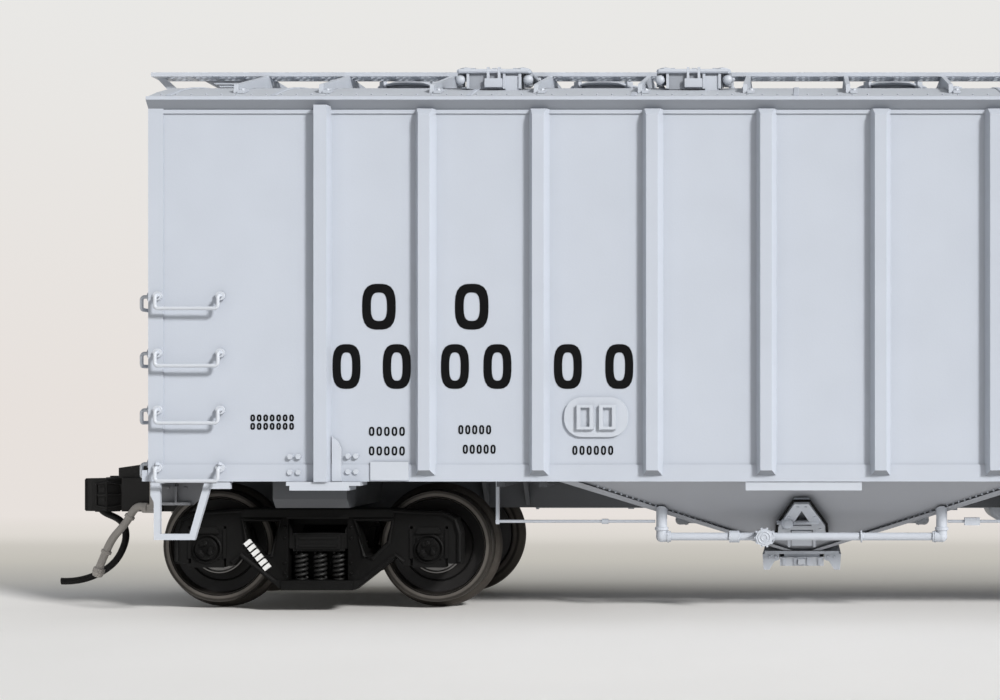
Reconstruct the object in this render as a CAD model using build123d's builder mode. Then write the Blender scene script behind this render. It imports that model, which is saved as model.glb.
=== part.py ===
from build123d import *
import os

# HO scale (1:87.1) two-bay covered hopper car, in millimetres.
# X runs along the car, Y across it, Z up. Z = 0 is the lowest point of the wheel
# flanges and the origin is the plan centre of the car.
# Plane.XZ faces -Y, so Plane.XZ.offset(d) lies at y = -d.

os.makedirs("parts", exist_ok=True)

# ---------------------------------------------------------------------------
# Driving dimensions
# ---------------------------------------------------------------------------

# body
half_len = 81.3  # end sheet to car centre
half_wid = 18.1  # side sheet to car centre line
sill_z = 12.27  # bottom of the side sill
chord_z = 45.5  # bottom of the top chord
eave_z = 46.6  # top of the top chord
wall = 1.0
inner_half_len = half_len - wall
inner_half_wid = half_wid - wall
strip_t = 0.14  # strips raised on the side sheets
fit_len = 2 * inner_half_len - 0.1  # plan size that drops inside the body
fit_wid = 2 * inner_half_wid - 0.1

# roof
roof_rise = 3.1  # crown above the eaves
roof_half = 18.6  # eave overhang half width
roof_t = 0.8
roof_radius = (roof_half**2 + roof_rise**2) / (2 * roof_rise)
roof_centre_z = eave_z + roof_rise - roof_radius
hatch_x = (61.3, 42.3, 14.0)
hatch_r = 3.4
opening_r = hatch_r - 0.8
cover_z = 50.25  # top of the coamings, underside of the covers

# running boards
board_top = 50.84
board_t = 0.31
board_bot = board_top - board_t
board_in = 3.7  # inner and outer edge from the centre line
board_out = 6.5
board_mid = (board_in + board_out) / 2
board_half = 85.1

# underframe
floor_bot = 12.25
floor_t = 0.8
floor_top = floor_bot + floor_t
sill_half = 2.0  # centre sill half width
sill_bot = 9.1
bay_x = 22.9
bay_top_l, bay_top_w = 21.9, 16.8  # half sizes at the floor
bay_bot_l, bay_bot_w = 1.6, 6.0  # half sizes at the outlet
bay_bot_z = 5.2

# trucks
truck_x = 67.4
half_wb = 10.205  # half wheelbase
tread_r = 5.25
flange_r = 5.885
axle_z = flange_r
journal_r = 0.55
bore_r = 0.62
frame_in, frame_out = 11.6, 13.2  # side frame faces from the centre line

# couplers
pivot_x = 84.5
coupler_z = 10.3
knuckle_x, knuckle_y = 91.3, -0.95

along_x = (0, 90, 0)  # rotations that lay a cylinder down
along_y = (90, 0, 0)
base_at = (Align.CENTER, Align.CENTER, Align.MIN)
top_at = (Align.CENTER, Align.CENTER, Align.MAX)


# ---------------------------------------------------------------------------
# Helpers
# ---------------------------------------------------------------------------
def save(shape, name):
    """Label a piece and write its STEP file."""
    shape.label = name
    export_step(shape, f"parts/{name}.step")


def save_moved(shape, name):
    """Write a moved copy of a shared part as a piece of its own."""
    with BuildPart() as placed:
        add(shape)
    save(placed.part, name)


def both(*values):
    """Each value with both signs, negative first."""
    return [sign * value for value in values for sign in (-1, 1)]


def flip(outline, sign):
    """A 2D outline with its first coordinate multiplied by sign."""
    return [(sign * u, v) for u, v in outline]


def roof_height(y, lift=0.0):
    """Height of the roof surface, or of an arc lift above it, at y."""
    return roof_centre_z + ((roof_radius + lift) ** 2 - y * y) ** 0.5


def with_half_turn(parts):
    """The parts joined with copies turned half a turn about Z."""
    with BuildPart() as joined:
        add(parts)
        add([part.rotate(Axis.Z, 180) for part in parts])
    return joined.part


def at_both_bays(part):
    """A part built about X = 0, placed at both hopper bays."""
    with BuildPart() as placed:
        with Locations(*[(x, 0, 0) for x in both(bay_x)]):
            add(part)
    return placed.part


def on_four_bay_sides(part):
    """A part built at the -X bay on the -Y side, repeated for both bays and sides."""
    with BuildPart() as placed:
        add(part)
        add(part.translate((2 * bay_x, 0, 0)))
        mirror(about=Plane.XZ)
    return placed.part


# ---------------------------------------------------------------------------
# Body shell: side and end sheets, top chord, ribs, posts and strips
# ---------------------------------------------------------------------------
chord_outline = (  # y, z, with a sloping soffit
    (-half_wid, chord_z),
    (-18.9, 46.3),
    (-18.9, eave_z),
    (-inner_half_wid, eave_z),
    (-inner_half_wid, chord_z),
)
rib_kinds = (  # x places, base width, face width, depth, bottom z, top z
    ((56.5, 46.35, 36.2, 26.05, 15.85, 5.6), 1.9, 1.03, 1.0, 12.84, 45.55),
    ((65.7,), 1.56, 1.16, 1.1, sill_z, 45.8),  # near the body bolsters
)
rib_end_cuts = (  # y beyond the side sheet, z
    ((1.1, 12.8), (1.1, 13.35), (0.16, 12.8)),
    ((1.1, 45.6), (1.1, 44.9), (0.5, 45.6)),
)
rib_cut_half = 60  # the cuts stop short of the bolster ribs
corner_strip_w = 1.35
sill_strip_h = 1.52
seam_strip_h = 0.34
end_post_y = 5.6
end_rail_h = 1.0


def rib_outline(base, face, depth):
    """Plan of one rib on the -Y side, rooted 0.05 inside the sheet."""
    root_y = -half_wid + 0.05
    face_y = -half_wid - depth
    return (-base / 2, root_y), (-face / 2, face_y), (face / 2, face_y), (base / 2, root_y)


with BuildPart() as body_shell:
    with BuildSketch(Plane.XY.offset(sill_z)):
        Rectangle(2 * half_len, 2 * half_wid)
        Rectangle(2 * inner_half_len, 2 * inner_half_wid, mode=Mode.SUBTRACT)
    extrude(amount=eave_z - sill_z)
    # top chord
    with BuildSketch(Plane.YZ.offset(-half_len)):
        with BuildLine():
            Polyline(*chord_outline, close=True)
        make_face()
        mirror(about=Plane.YZ)
    extrude(amount=2 * half_len)
    # ribs
    for places, base, face, depth, bottom, top in rib_kinds:
        with BuildSketch(Plane.XY.offset(bottom)):
            with Locations(*[(x, 0) for x in both(*places)]):
                Polygon(*rib_outline(base, face, depth), align=None)
            mirror(about=Plane.XZ)
        extrude(amount=top - bottom)
    # corner strips, sill strip and top seam strip
    for side in (1, -1):
        with BuildSketch(Plane.XZ.offset(side * half_wid)):
            with Locations(*[(x, 29) for x in both(half_len - corner_strip_w / 2)]):
                Rectangle(corner_strip_w, 33.2)
            with Locations((0, sill_z + sill_strip_h / 2)):
                Rectangle(2 * half_len, sill_strip_h)
            with Locations((0, chord_z - seam_strip_h / 2)):
                Rectangle(2 * half_len, seam_strip_h)
        extrude(amount=side * strip_t)
    # end posts, bottom rail and top flange
    for end in (1, -1):
        with BuildSketch(Plane.YZ.offset(end * half_len)):
            with Locations(*[(y, 29.2) for y in both(end_post_y)]):
                Rectangle(1.2, 33.0)
            with Locations((0, sill_z + end_rail_h / 2)):
                Rectangle(2 * half_wid, end_rail_h)
        extrude(amount=end * 0.6)
        with BuildSketch(Plane.YZ.offset(end * half_len)):
            with Locations((0, 45.9)):
                Rectangle(34.6, 1.0)
        extrude(amount=end * 0.15)
    # sloped feet and heads of the narrow ribs
    for side in (-1, 1):
        with BuildSketch(Plane.YZ.offset(-rib_cut_half)):
            for cut in rib_end_cuts:
                with BuildLine():
                    Polyline(*[(side * (half_wid + out), z) for out, z in cut], close=True)
                make_face()
        extrude(amount=2 * rib_cut_half, mode=Mode.SUBTRACT)
save(body_shell.part, "body_shell")

# ---------------------------------------------------------------------------
# Roof panel: arched sheet with closed ends, a locating skirt and six openings
# ---------------------------------------------------------------------------
soffit_half = 16.4  # half width of the hollow under the arch
skirt_h = 1.2
coaming_h = 1.3

with BuildPart() as roof_panel:
    with BuildSketch(Plane.YZ.offset(-half_len)):
        with BuildLine():
            ThreePointArc((-roof_half, eave_z), (0, eave_z + roof_rise), (roof_half, eave_z))
            Line((roof_half, eave_z), (-roof_half, eave_z))
        make_face()
    extrude(amount=2 * half_len)
    with BuildSketch(Plane.YZ.offset(-inner_half_len)):
        with BuildLine():
            ThreePointArc(
                (-soffit_half, eave_z), (0, eave_z + roof_rise - roof_t), (soffit_half, eave_z)
            )
            Line((soffit_half, eave_z), (-soffit_half, eave_z))
        make_face()
    extrude(amount=2 * inner_half_len, mode=Mode.SUBTRACT)
    # skirt that drops inside the body
    with BuildSketch(Plane.XY.offset(eave_z - skirt_h)):
        Rectangle(fit_len, fit_wid)
        Rectangle(fit_len - 2.4, fit_wid - 1.5, mode=Mode.SUBTRACT)
    extrude(amount=skirt_h)
    with Locations(*[(x, 0, 49) for x in both(*hatch_x)]):
        Cylinder(opening_r, 3, mode=Mode.SUBTRACT)
    # raised coaming round each opening
    with BuildSketch(Plane.XY.offset(cover_z - coaming_h)):
        with Locations(*[(x, 0) for x in both(*hatch_x)]):
            Circle(hatch_r - 0.3)
            Circle(opening_r, mode=Mode.SUBTRACT)
    extrude(amount=coaming_h)
save(roof_panel.part, "roof_panel")

# domed loading covers, each with a centre knob
rim_h, dome_h, knob_h = 0.25, 0.5, 0.4
dome_z = cover_z + rim_h
knob_z = dome_z + dome_h

with BuildPart() as hatch_covers:
    with Locations(*[(x, 0, cover_z + rim_h / 2) for x in both(*hatch_x)]):
        Cylinder(hatch_r, rim_h)
    with Locations(*[(x, 0, dome_z + dome_h / 2) for x in both(*hatch_x)]):
        Cone(hatch_r - 0.15, hatch_r - 1.5, dome_h)
    with Locations(*[(x, 0, knob_z + knob_h / 2) for x in both(*hatch_x)]):
        Cylinder(0.45, knob_h)
save(hatch_covers.part, "hatch_covers")

# square vent boxes on the roof slope, lid wider than the box, side lugs
vent_x = (51.1, 32.8)
vent_y = 10.7
vent_half = 3.1
vent_len = 5
vent_top = 49.5
lid_t = 0.4
boss_h = 0.3
vent_foot = [  # y, z along the roof, from the outer edge to the middle
    (y, roof_height(y) + 0.05) for y in (vent_y + vent_half, vent_y)
]

with BuildPart() as vent_one:
    with BuildSketch(Plane.YZ.offset(-vent_len / 2)):
        with BuildLine():
            Polyline(
                (vent_y - vent_half, roof_height(vent_y - vent_half) + 0.05),
                (vent_y - vent_half, vent_top),
                (vent_y + vent_half, vent_top),
                *vent_foot,
                close=True,
            )
        make_face()
    extrude(amount=vent_len)
    with Locations((0, vent_y, vent_top + lid_t / 2)):
        Box(6.4, 6.6, lid_t)
    with Locations((0, vent_y, vent_top + lid_t + boss_h / 2)):
        Cylinder(1.3, boss_h)
    with Locations(*[(x, 13.2, 49.0) for x in both(3.1)]):
        Cylinder(0.35, 1.2)
with BuildPart() as vent_boxes:
    with Locations(*[(x, 0, 0) for x in both(*vent_x)]):
        add(vent_one.part)
    mirror(about=Plane.XZ)
save(vent_boxes.part, "vent_boxes")

# ---------------------------------------------------------------------------
# Running boards with slotted grating, and the brackets that carry them
# ---------------------------------------------------------------------------
end_walk_x = 77.9  # crosswalks between the boards
side_walk_w = 10.4  # crosswalks from one board out to the side ladder
side_walk_y = board_out + side_walk_w / 2
side_walks = ((77.6, -side_walk_y), (-77.6, side_walk_y))
walk_slot_pitch = 1.6
walk_slot_w = 0.9

with BuildPart() as running_boards:
    with BuildSketch(Plane.XY.offset(board_bot)):
        Rectangle(2 * board_half, 2 * board_out)
        Rectangle(2 * board_half, 2 * board_in, mode=Mode.SUBTRACT)
        with GridLocations(2.4, 1.3, 70, 2):
            with Locations((0, board_mid), (0, -board_mid)):
                Rectangle(1.9, 0.7, mode=Mode.SUBTRACT)
    extrude(amount=board_t)
with BuildPart() as crosswalks:
    with BuildSketch(Plane.XY.offset(board_bot)):
        with Locations(*[(x, 0) for x in both(end_walk_x)]):
            Rectangle(5.8, 2 * board_in)
        with Locations(*side_walks):
            Rectangle(6.4, side_walk_w)
        with GridLocations(2 * end_walk_x, walk_slot_pitch, 2, 4):
            Rectangle(4.9, walk_slot_w, mode=Mode.SUBTRACT)
        with Locations(*side_walks):
            with GridLocations(1.0, walk_slot_pitch, 1, 6):
                Rectangle(5.4, walk_slot_w, mode=Mode.SUBTRACT)
    extrude(amount=board_t)
with BuildPart() as boards_and_walks:
    add(running_boards.part)
    add(crosswalks.part)
save(boards_and_walks.part, "running_boards")

plate_x = (9.4, 18.7, 28.0, 37.5, 46.9, 56.3, 66.3, 74.0)
plate_t = 0.4
plate_lift = 0.02  # gap between plate and roof
plate_half = 16.5
plate_foot_z = roof_height(plate_half, plate_lift)
bracket_z = 48.1  # top of the plate ends, bottom of the legs
legs = ((80.2, -15.9), (-80.2, 15.9))  # x, y under the side crosswalks
strut_outline = (  # x, z under the board ends
    (84.9, board_bot),
    (81.9, 47.2),
    (81.35, 47.2),
    (81.35, 48.0),
    (84.1, board_bot),
)

# one transverse plate over the roof
with BuildPart() as plate_one:
    with BuildSketch(Plane.YZ.offset(-plate_t / 2)):
        with BuildLine():
            Polyline(
                (-plate_half, plate_foot_z),
                (-16.3, bracket_z),
                (-6.6, board_bot),
                (6.6, board_bot),
                (16.3, bracket_z),
                (plate_half, plate_foot_z),
            )
            ThreePointArc(
                (plate_half, plate_foot_z),
                (0, roof_height(0, plate_lift)),
                (-plate_half, plate_foot_z),
            )
        make_face()
    extrude(amount=plate_t)
with BuildPart() as board_brackets:
    with Locations((0, 0, 0), *[(x, 0, 0) for x in both(*plate_x)]):
        add(plate_one.part)
    # legs and their feet
    with BuildSketch(Plane.XY.offset(bracket_z)):
        with Locations(*legs):
            Rectangle(0.8, 0.8)
    extrude(amount=board_bot - bracket_z)
    with BuildSketch(Plane.XY.offset(47.75)):
        with Locations(*legs):
            Rectangle(0.8, 1.4)
    extrude(amount=0.4)
    for y in both(board_mid):
        with BuildSketch(Plane.XZ.offset(-y)):
            for end in (-1, 1):
                with BuildLine():
                    Polyline(*flip(strut_outline, end), close=True)
                make_face()
        extrude(amount=0.2, both=True)
save(board_brackets.part, "board_brackets")

# ---------------------------------------------------------------------------
# Ladders, grab irons, stirrup steps and card plates
# ---------------------------------------------------------------------------
ladder_z = (43.5, 38.6, 33.75, 28.85, 23.75, 18.66, 14.2)
side_grab_z = (28.85, 23.75, 18.66, 13.5)
end_grab_z = (28.85, 23.75, 18.66, 13.8)


def ladder(x0, x1, face_y):
    """Ladder on the -Y face at face_y: stiles at x0 and x1, stand-offs, round rungs."""
    stile_w, stile_t = 0.5, 0.35
    standoff = 0.65
    mid_z = 29.4
    with BuildPart() as built:
        with BuildSketch(Plane.XZ.offset(-face_y + standoff)):
            with Locations((x0, mid_z), (x1, mid_z)):
                Rectangle(stile_w, 32.0)
        extrude(amount=stile_t)
        with BuildSketch(Plane.XZ.offset(-face_y)):
            for x in (x0, x1):
                with Locations((x, mid_z - 14.8), (x, mid_z), (x, mid_z + 14.8)):
                    Rectangle(stile_w, 0.8)
        extrude(amount=standoff)
        with BuildSketch(Plane.YZ.offset(x0)):
            with Locations(*[(face_y - 0.82, z) for z in ladder_z]):
                Circle(0.17)
        extrude(amount=x1 - x0)
    return built.part


def drop_grab(x0, x1, z):
    """Drop grab iron on the -Y side sheet, between bolt heads at x0 and x1."""
    bolt_y = -half_wid - 0.15
    bar_y = bolt_y - 0.9
    bar_z = z - 1.15
    with BuildPart() as grab:
        with BuildLine():
            FilletPolyline(
                (x0, bolt_y, z),
                (x0, bar_y, z),
                (x0, bar_y, bar_z),
                (x1, bar_y, bar_z),
                (x1, bar_y, z),
                (x1, bolt_y, z),
                radius=0.3,
            )
        with BuildSketch(Plane(origin=(x0, bolt_y, z), z_dir=(0, -1, 0))):
            Circle(0.165)
        sweep()
        with BuildSketch(Plane.XZ.offset(-bolt_y)):
            with Locations((x0, z), (x1, z)):
                Circle(0.4)
        extrude(amount=0.3)
    return grab.part


# the end fittings are built facing -Y, then turned onto the -X end sheet
side_ladder = ladder(74.9, 80.3, -half_wid - 0.16)
end_ladder = ladder(-16.9, -11.5, -half_len - 0.02).rotate(Axis.Z, -90)
save(with_half_turn([side_ladder, end_ladder]), "ladders")

side_grabs = [drop_grab(-80.4, -74.8, z) for z in side_grab_z]
end_grabs = [
    drop_grab(11.2, 16.9, z).translate((0, half_wid - half_len, 0)).rotate(Axis.Z, -90)
    for z in end_grab_z
]
save(with_half_turn(side_grabs + end_grabs), "grab_irons")

# stirrup steps bent from strap, one at each corner
step_top = 12.1
step_outline = (  # x, z
    (-81.15, step_top),
    (-81.15, 11.0),
    (-80.85, 10.4),
    (-80.85, 7.03),
    (-77.2, 7.03),
    (-75.85, 11.6),
    (-74.0, 11.6),
    (-74.0, step_top),
    (-76.35, step_top),
    (-77.65, 7.57),
    (-80.3, 7.57),
    (-80.3, step_top),
)

with BuildPart() as step_one:
    with BuildSketch(Plane.XZ.offset(17.65)):
        with BuildLine():
            Polyline(*step_outline, close=True)
        make_face()
    extrude(amount=0.45)
    # pads under the body
    with BuildSketch(Plane.XY.offset(step_top)):
        with Locations((-80.55, -17.6), (-74.65, -17.6)):
            Rectangle(1.2, 1.0)
    extrude(amount=0.15)
with BuildPart() as stirrup_steps:
    add(step_one.part)
    mirror(about=Plane.XZ)
    mirror(about=Plane.YZ)
save(stirrup_steps.part, "stirrup_steps")

# raised route card plates with two U brackets each
card_z = 18.03
card_t = 0.25

with BuildPart() as card_one:
    with BuildSketch(Plane.XZ.offset(half_wid)):
        with Locations((-41.25, card_z)):
            RectangleRounded(5.7, 3.55, 1.6)
    extrude(amount=card_t)
    with BuildSketch(Plane.XZ.offset(half_wid + card_t)):
        with Locations((-42.2, card_z), (-40.2, card_z)):
            Rectangle(1.5, 2.2)
            Rectangle(0.8, 1.7, mode=Mode.SUBTRACT)
    extrude(amount=0.35)
save(with_half_turn([card_one.part]), "card_plates")

# ---------------------------------------------------------------------------
# Underframe: floor, ballast, centre sill
# ---------------------------------------------------------------------------
with BuildPart() as underframe_floor:
    with BuildSketch(Plane.XY.offset(floor_bot + 0.02)):
        Rectangle(fit_len, fit_wid)
        with Locations(*[(x, 0) for x in both(bay_x)]):
            Rectangle(38, 30, mode=Mode.SUBTRACT)
    extrude(amount=floor_t)
save(underframe_floor.part, "underframe_floor")

# steel bars on the floor over the trucks
ballast_h = 3.0
with BuildPart() as ballast_weight:
    with Locations(*[(x, 0, floor_top + 0.02 + ballast_h / 2) for x in both(64)]):
        Box(30, 26, ballast_h)
save(ballast_weight.part, "ballast_weight")

# solid bar, bored for the king pins
with BuildPart() as center_sill:
    with Locations((0, 0, (sill_bot + floor_bot) / 2)):
        Box(2 * 82.4, 2 * sill_half, floor_bot - sill_bot)
    with Locations(*[(x, 0, sill_bot) for x in both(truck_x)]):
        Cylinder(0.7, 5, mode=Mode.SUBTRACT)
save(center_sill.part, "center_sill")

# ---------------------------------------------------------------------------
# Hopper bays: sloped sheet pyramids, slotted for the centre sill
# ---------------------------------------------------------------------------
slot_mid_z = 10.7

with BuildPart() as bay_one:
    with BuildSketch(Plane.XY.offset(floor_bot)):
        Rectangle(2 * bay_top_l, 2 * bay_top_w)
    with BuildSketch(Plane.XY.offset(bay_bot_z)):
        Rectangle(2 * bay_bot_l, 2 * bay_bot_w)
    loft()
    with BuildSketch(Plane.XY.offset(floor_bot)):
        Rectangle(2 * bay_top_l - 3.4, 2 * bay_top_w - 2.4)
    with BuildSketch(Plane.XY.offset(bay_bot_z)):
        Rectangle(2 * bay_bot_l - 1.4, 2 * bay_bot_w - 2.4)
    loft(mode=Mode.SUBTRACT)
    # flanges along the four sloping corners
    for end in (-1, 1):
        for side in (-1, 1):
            with BuildSketch(Plane.XY.offset(floor_bot)):
                with Locations((end * (bay_top_l - 0.8), side * (bay_top_w - 0.1))):
                    Rectangle(1.6, 0.9)
            with BuildSketch(Plane.XY.offset(bay_bot_z)):
                with Locations((end * (bay_bot_l - 0.4), side * (bay_bot_w + 0.1))):
                    Rectangle(0.8, 0.9)
            loft()
    with Locations((0, 0, slot_mid_z)):
        Box(60, 2 * sill_half, 2 * (slot_mid_z - sill_bot), mode=Mode.SUBTRACT)
save(at_both_bays(bay_one.part), "hopper_bays")

# solid envelope of one bay, used to trim what stands against it
with BuildPart() as bay_envelope:
    with BuildSketch(Plane.XY.offset(floor_bot + 0.01)):
        Rectangle(2 * bay_top_l + 0.1, 2 * bay_top_w + 0.7)
    with BuildSketch(Plane.XY.offset(bay_bot_z - 0.01)):
        Rectangle(2 * bay_bot_l + 0.1, 2 * bay_bot_w + 1.1)
    loft()
envelopes = [bay_envelope.part.translate((x, 0, 0)) for x in both(bay_x)]

# outlet block below each gate, with a small lug on each side
outlet_z = 4.19
with BuildPart() as block_one:
    with Locations((0, 0, outlet_z)):
        Box(4.2, 13.0, 0.86)
    with Locations(*[(0, y, outlet_z) for y in both(6.7)]):
        Box(0.7, 0.4, 0.5)
save(at_both_bays(block_one.part), "outlet_blocks")

# discharge gates: top plate, step below it, slide rails
rail_half = 6.6
rail_outline = (  # x, z
    (3.75, 4.9),
    (3.65, 3.4),
    (3.1, 3.4),
    (2.6, 4.2),
    (2.15, 4.35),
    (2.15, 4.9),
)

with BuildPart() as gate_one:
    with Locations((0, 0, 5.05)):
        Box(7.1, 13.4, 0.28)
    with Locations((0, 0, 4.78)):
        Box(3.4, 12.6, 0.3)
with BuildPart() as rails_one:
    with BuildSketch(Plane.XZ.offset(rail_half)):
        for end in (-1, 1):
            with BuildLine():
                Polyline(*flip(rail_outline, end), close=True)
            make_face()
    extrude(amount=-2 * rail_half)
with BuildPart() as discharge_gates:
    for part in (gate_one.part, rails_one.part):
        with Locations(*[(x, 0, 0) for x in both(bay_x)]):
            add(part)
save(discharge_gates.part, "discharge_gates")

# A-shaped operator frames lying on the bay side sheets
slope_plane = Plane(
    origin=(-bay_x, -bay_top_w - 0.36, floor_bot), x_dir=(1, 0, 0), z_dir=(0, -0.55, -0.84)
)
a_outline = (  # x, distance along the slope
    (-2.3, -9.6),
    (-2.15, -7.0),
    (-0.65, -2.9),
    (0.65, -2.9),
    (2.15, -7.0),
    (2.3, -9.6),
    (1.3, -9.6),
    (1.3, -7.6),
    (-1.3, -7.6),
    (-1.3, -9.6),
)
a_window = ((-0.95, -6.9), (0, -4.1), (0.95, -6.9))

with BuildPart() as a_one:
    with BuildSketch(slope_plane):
        with BuildLine():
            Polyline(*a_outline, close=True)
        make_face()
        with BuildLine():
            Polyline(*a_window, close=True)
        make_face(mode=Mode.SUBTRACT)
    extrude(amount=0.7)
    add(envelopes, mode=Mode.SUBTRACT)
save(on_four_bay_sides(a_one.part), "operator_frames")

# ---------------------------------------------------------------------------
# Air pipes, hose caps and supply lines
# ---------------------------------------------------------------------------
pipe_y = 13.0
pipe_z = 7.0
pipe_half = 12.9  # bay centre to the elbows
cap_x = -26.3
line_z = 8.4
line_r = 0.14

# pipe below the -X bay, with elbows, risers and collars
with BuildPart() as pipe_one:
    with Locations((-bay_x, -pipe_y, pipe_z)):
        Cylinder(0.36, 2 * pipe_half, rotation=along_x)
    with Locations(*[(-bay_x + dx, -pipe_y, pipe_z) for dx in both(pipe_half)]):
        Sphere(0.52)
        Cylinder(0.5, 4.5, align=base_at)
    with Locations(*[(-bay_x + dx, -pipe_y, pipe_z) for dx in both(pipe_half - 0.4)]):
        Cylinder(0.5, 0.9, rotation=along_x)
    with Locations((-29.1, -pipe_y, pipe_z)):
        Cylinder(0.55, 0.8, rotation=along_x)
    with Locations((cap_x, -pipe_y, pipe_z)):
        Cylinder(0.5, 1.2, rotation=along_x)
    add(envelopes, mode=Mode.SUBTRACT)
save(on_four_bay_sides(pipe_one.part), "air_pipes")

# round neck and eight-sided cap, facing outward on the pipe
with BuildPart() as cap_one:
    with BuildSketch(Plane.XZ.offset(pipe_y + 0.5)):
        with Locations((cap_x, pipe_z)):
            Circle(0.62)
    extrude(amount=0.5)
    with BuildSketch(Plane.XZ.offset(pipe_y + 0.9)):
        with Locations((cap_x, pipe_z)):
            RegularPolygon(0.82, 8)
    extrude(amount=0.7)
save(on_four_bay_sides(cap_one.part), "hose_caps")

# small lines outboard of and between the bays, with their hangers
with BuildPart() as line_one:
    with Locations((-43.75, -pipe_y, line_z)):
        Cylinder(line_r, 14.7, rotation=along_x)
    with Locations((-41.0, -pipe_y, line_z)):
        Cylinder(0.24, 0.6, rotation=along_x)
    with Locations((-50.9, -pipe_y, 10.2)):
        Box(0.28, 0.5, 4.1)
with BuildPart() as air_lines:
    add(line_one.part)
    mirror(about=Plane.YZ)
    with Locations((0, -pipe_y, line_z)):
        Cylinder(line_r, 18.9, rotation=along_x)
    with Locations(*[(x, -pipe_y, line_z) for x in both(7.2)]):
        Box(1.4, 0.7, 0.7)
    with Locations((0, -pipe_y, 10.3)):
        Box(0.5, 0.5, 3.9)
    mirror(about=Plane.XZ)
save(air_lines.part, "air_lines")

# ---------------------------------------------------------------------------
# Body bolsters with the end sills, and the plates and bolts on the side sills
# ---------------------------------------------------------------------------
bolster_len = 6.7
bolster_bot = 9.75
body_bolster_outline = (  # y, z
    (-16.15, floor_bot),
    (-16.15, 10.6),
    (-15.2, bolster_bot),
    (-sill_half, bolster_bot),
    (-sill_half, floor_bot),
)
end_sill_h = 0.52

with BuildPart() as body_bolsters:
    for end in (-1, 1):
        with BuildSketch(Plane.YZ.offset(end * truck_x - bolster_len / 2)):
            with BuildLine():
                Polyline(*body_bolster_outline, close=True)
            make_face()
            mirror(about=Plane.YZ)
        extrude(amount=bolster_len)
    for end in (-1, 1):
        with Locations(*[(end * 80.4, y, floor_bot - end_sill_h / 2) for y in (9.6, -9.6)]):
            Box(1.5, 13.0, end_sill_h)
save(body_bolsters.part, "body_bolsters")

under_plates = (  # centre x, y, z, then size
    (22.7, -17.86, 11.86, (10.4, 0.5, 0.78)),  # beside the bays
    (65.5, -17.55, 12.08, (6.6, 2.7, 0.34)),  # pads near the bolsters
    (65.85, -17.55, 11.7, (5.3, 2.7, 0.42)),
)
gusset_outline = (  # x, z
    (64.85, 12.3),
    (64.85, 16.3),
    (64.35, 15.9),
    (64.0, 15.2),
    (64.0, 12.3),
)

with BuildPart() as sill_plates:
    for end in (-1, 1):
        for x, y, z, size in under_plates:
            with Locations((end * x, y, z)):
                Box(*size)
        with BuildSketch(Plane.XZ.offset(half_wid + strip_t)):
            with BuildLine():
                Polyline(*flip(gusset_outline, end), close=True)
            make_face()
            with Locations((end * 59.7, 13.2)):
                Rectangle(3.4, 1.65)
        extrude(amount=0.18)
    mirror(about=Plane.XZ)
save(sill_plates.part, "sill_plates")

sill_bolt_places = ((68.6, 0), (67.85, 0), (63.4, 0.05), (62.7, 0.05))  # x, z above row
sill_bolt_rows = ((13.1, strip_t), (14.5, 0))  # row z, bolt root beyond the side sheet
sill_bolt_top = 0.34  # beyond the side sheet

with BuildPart() as sill_bolts:
    for row_z, root in sill_bolt_rows:
        with BuildSketch(Plane.XZ.offset(half_wid + root)):
            for end in (-1, 1):
                with Locations(*[(end * x, row_z + dz) for x, dz in sill_bolt_places]):
                    RegularPolygon(0.26, 6)
        extrude(amount=sill_bolt_top - root)
    mirror(about=Plane.XZ)
save(sill_bolts.part, "sill_bolts")

# ---------------------------------------------------------------------------
# Brake gear between the bays, each piece hung from a bracket
# ---------------------------------------------------------------------------
hanger_z = 11.2

tank_x, tank_y = -2.6, 6.2
with BuildPart() as air_reservoir:
    with Locations((tank_x, tank_y, 8.9)):
        Cylinder(1.5, 7.2, rotation=along_y)
    fillet(air_reservoir.edges().filter_by(GeomType.CIRCLE), 0.5)
    with Locations((tank_x, tank_y - 1.8, hanger_z), (tank_x, tank_y + 1.8, hanger_z)):
        Box(1.0, 0.5, 2.1)
    add(envelopes, mode=Mode.SUBTRACT)
save(air_reservoir.part, "air_reservoir")

cylinder_x, cylinder_z = 2.4, 9.1
cylinder_steps = (  # centre y, radius, length
    (-6.2, 1.25, 4.2),  # barrel
    (-8.5, 1.45, 0.5),  # head flange
    (-10.0, 0.3, 2.6),  # rod
)
with BuildPart() as brake_cylinder:
    for y, radius, length in cylinder_steps:
        with Locations((cylinder_x, y, cylinder_z)):
            Cylinder(radius, length, rotation=along_y)
    with Locations((cylinder_x, -5.4, hanger_z)):
        Box(1.4, 2.0, 2.1)
    add(envelopes, mode=Mode.SUBTRACT)
save(brake_cylinder.part, "brake_cylinder")

valve_x, valve_y, valve_z = -2.4, -6.0, 9.2
with BuildPart() as control_valve:
    with Locations((valve_x, valve_y, valve_z)):
        Box(2.2, 2.6, 2.0)
    with Locations((valve_x, valve_y - 1.9, valve_z)):
        Cylinder(0.8, 1.2, rotation=along_y)
    with Locations((valve_x, valve_y + 1.9, valve_z)):
        Cylinder(0.7, 1.2, rotation=along_y)
    with Locations((valve_x, valve_y, 11.22)):
        Box(1.6, 1.4, 2.05)
    add(envelopes, mode=Mode.SUBTRACT)
save(control_valve.part, "control_valve")

# ---------------------------------------------------------------------------
# Hand brake on the +X end
# ---------------------------------------------------------------------------
brake_y = -1.5
brake_z = 35
brake_wheel_r = 2.9

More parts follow.
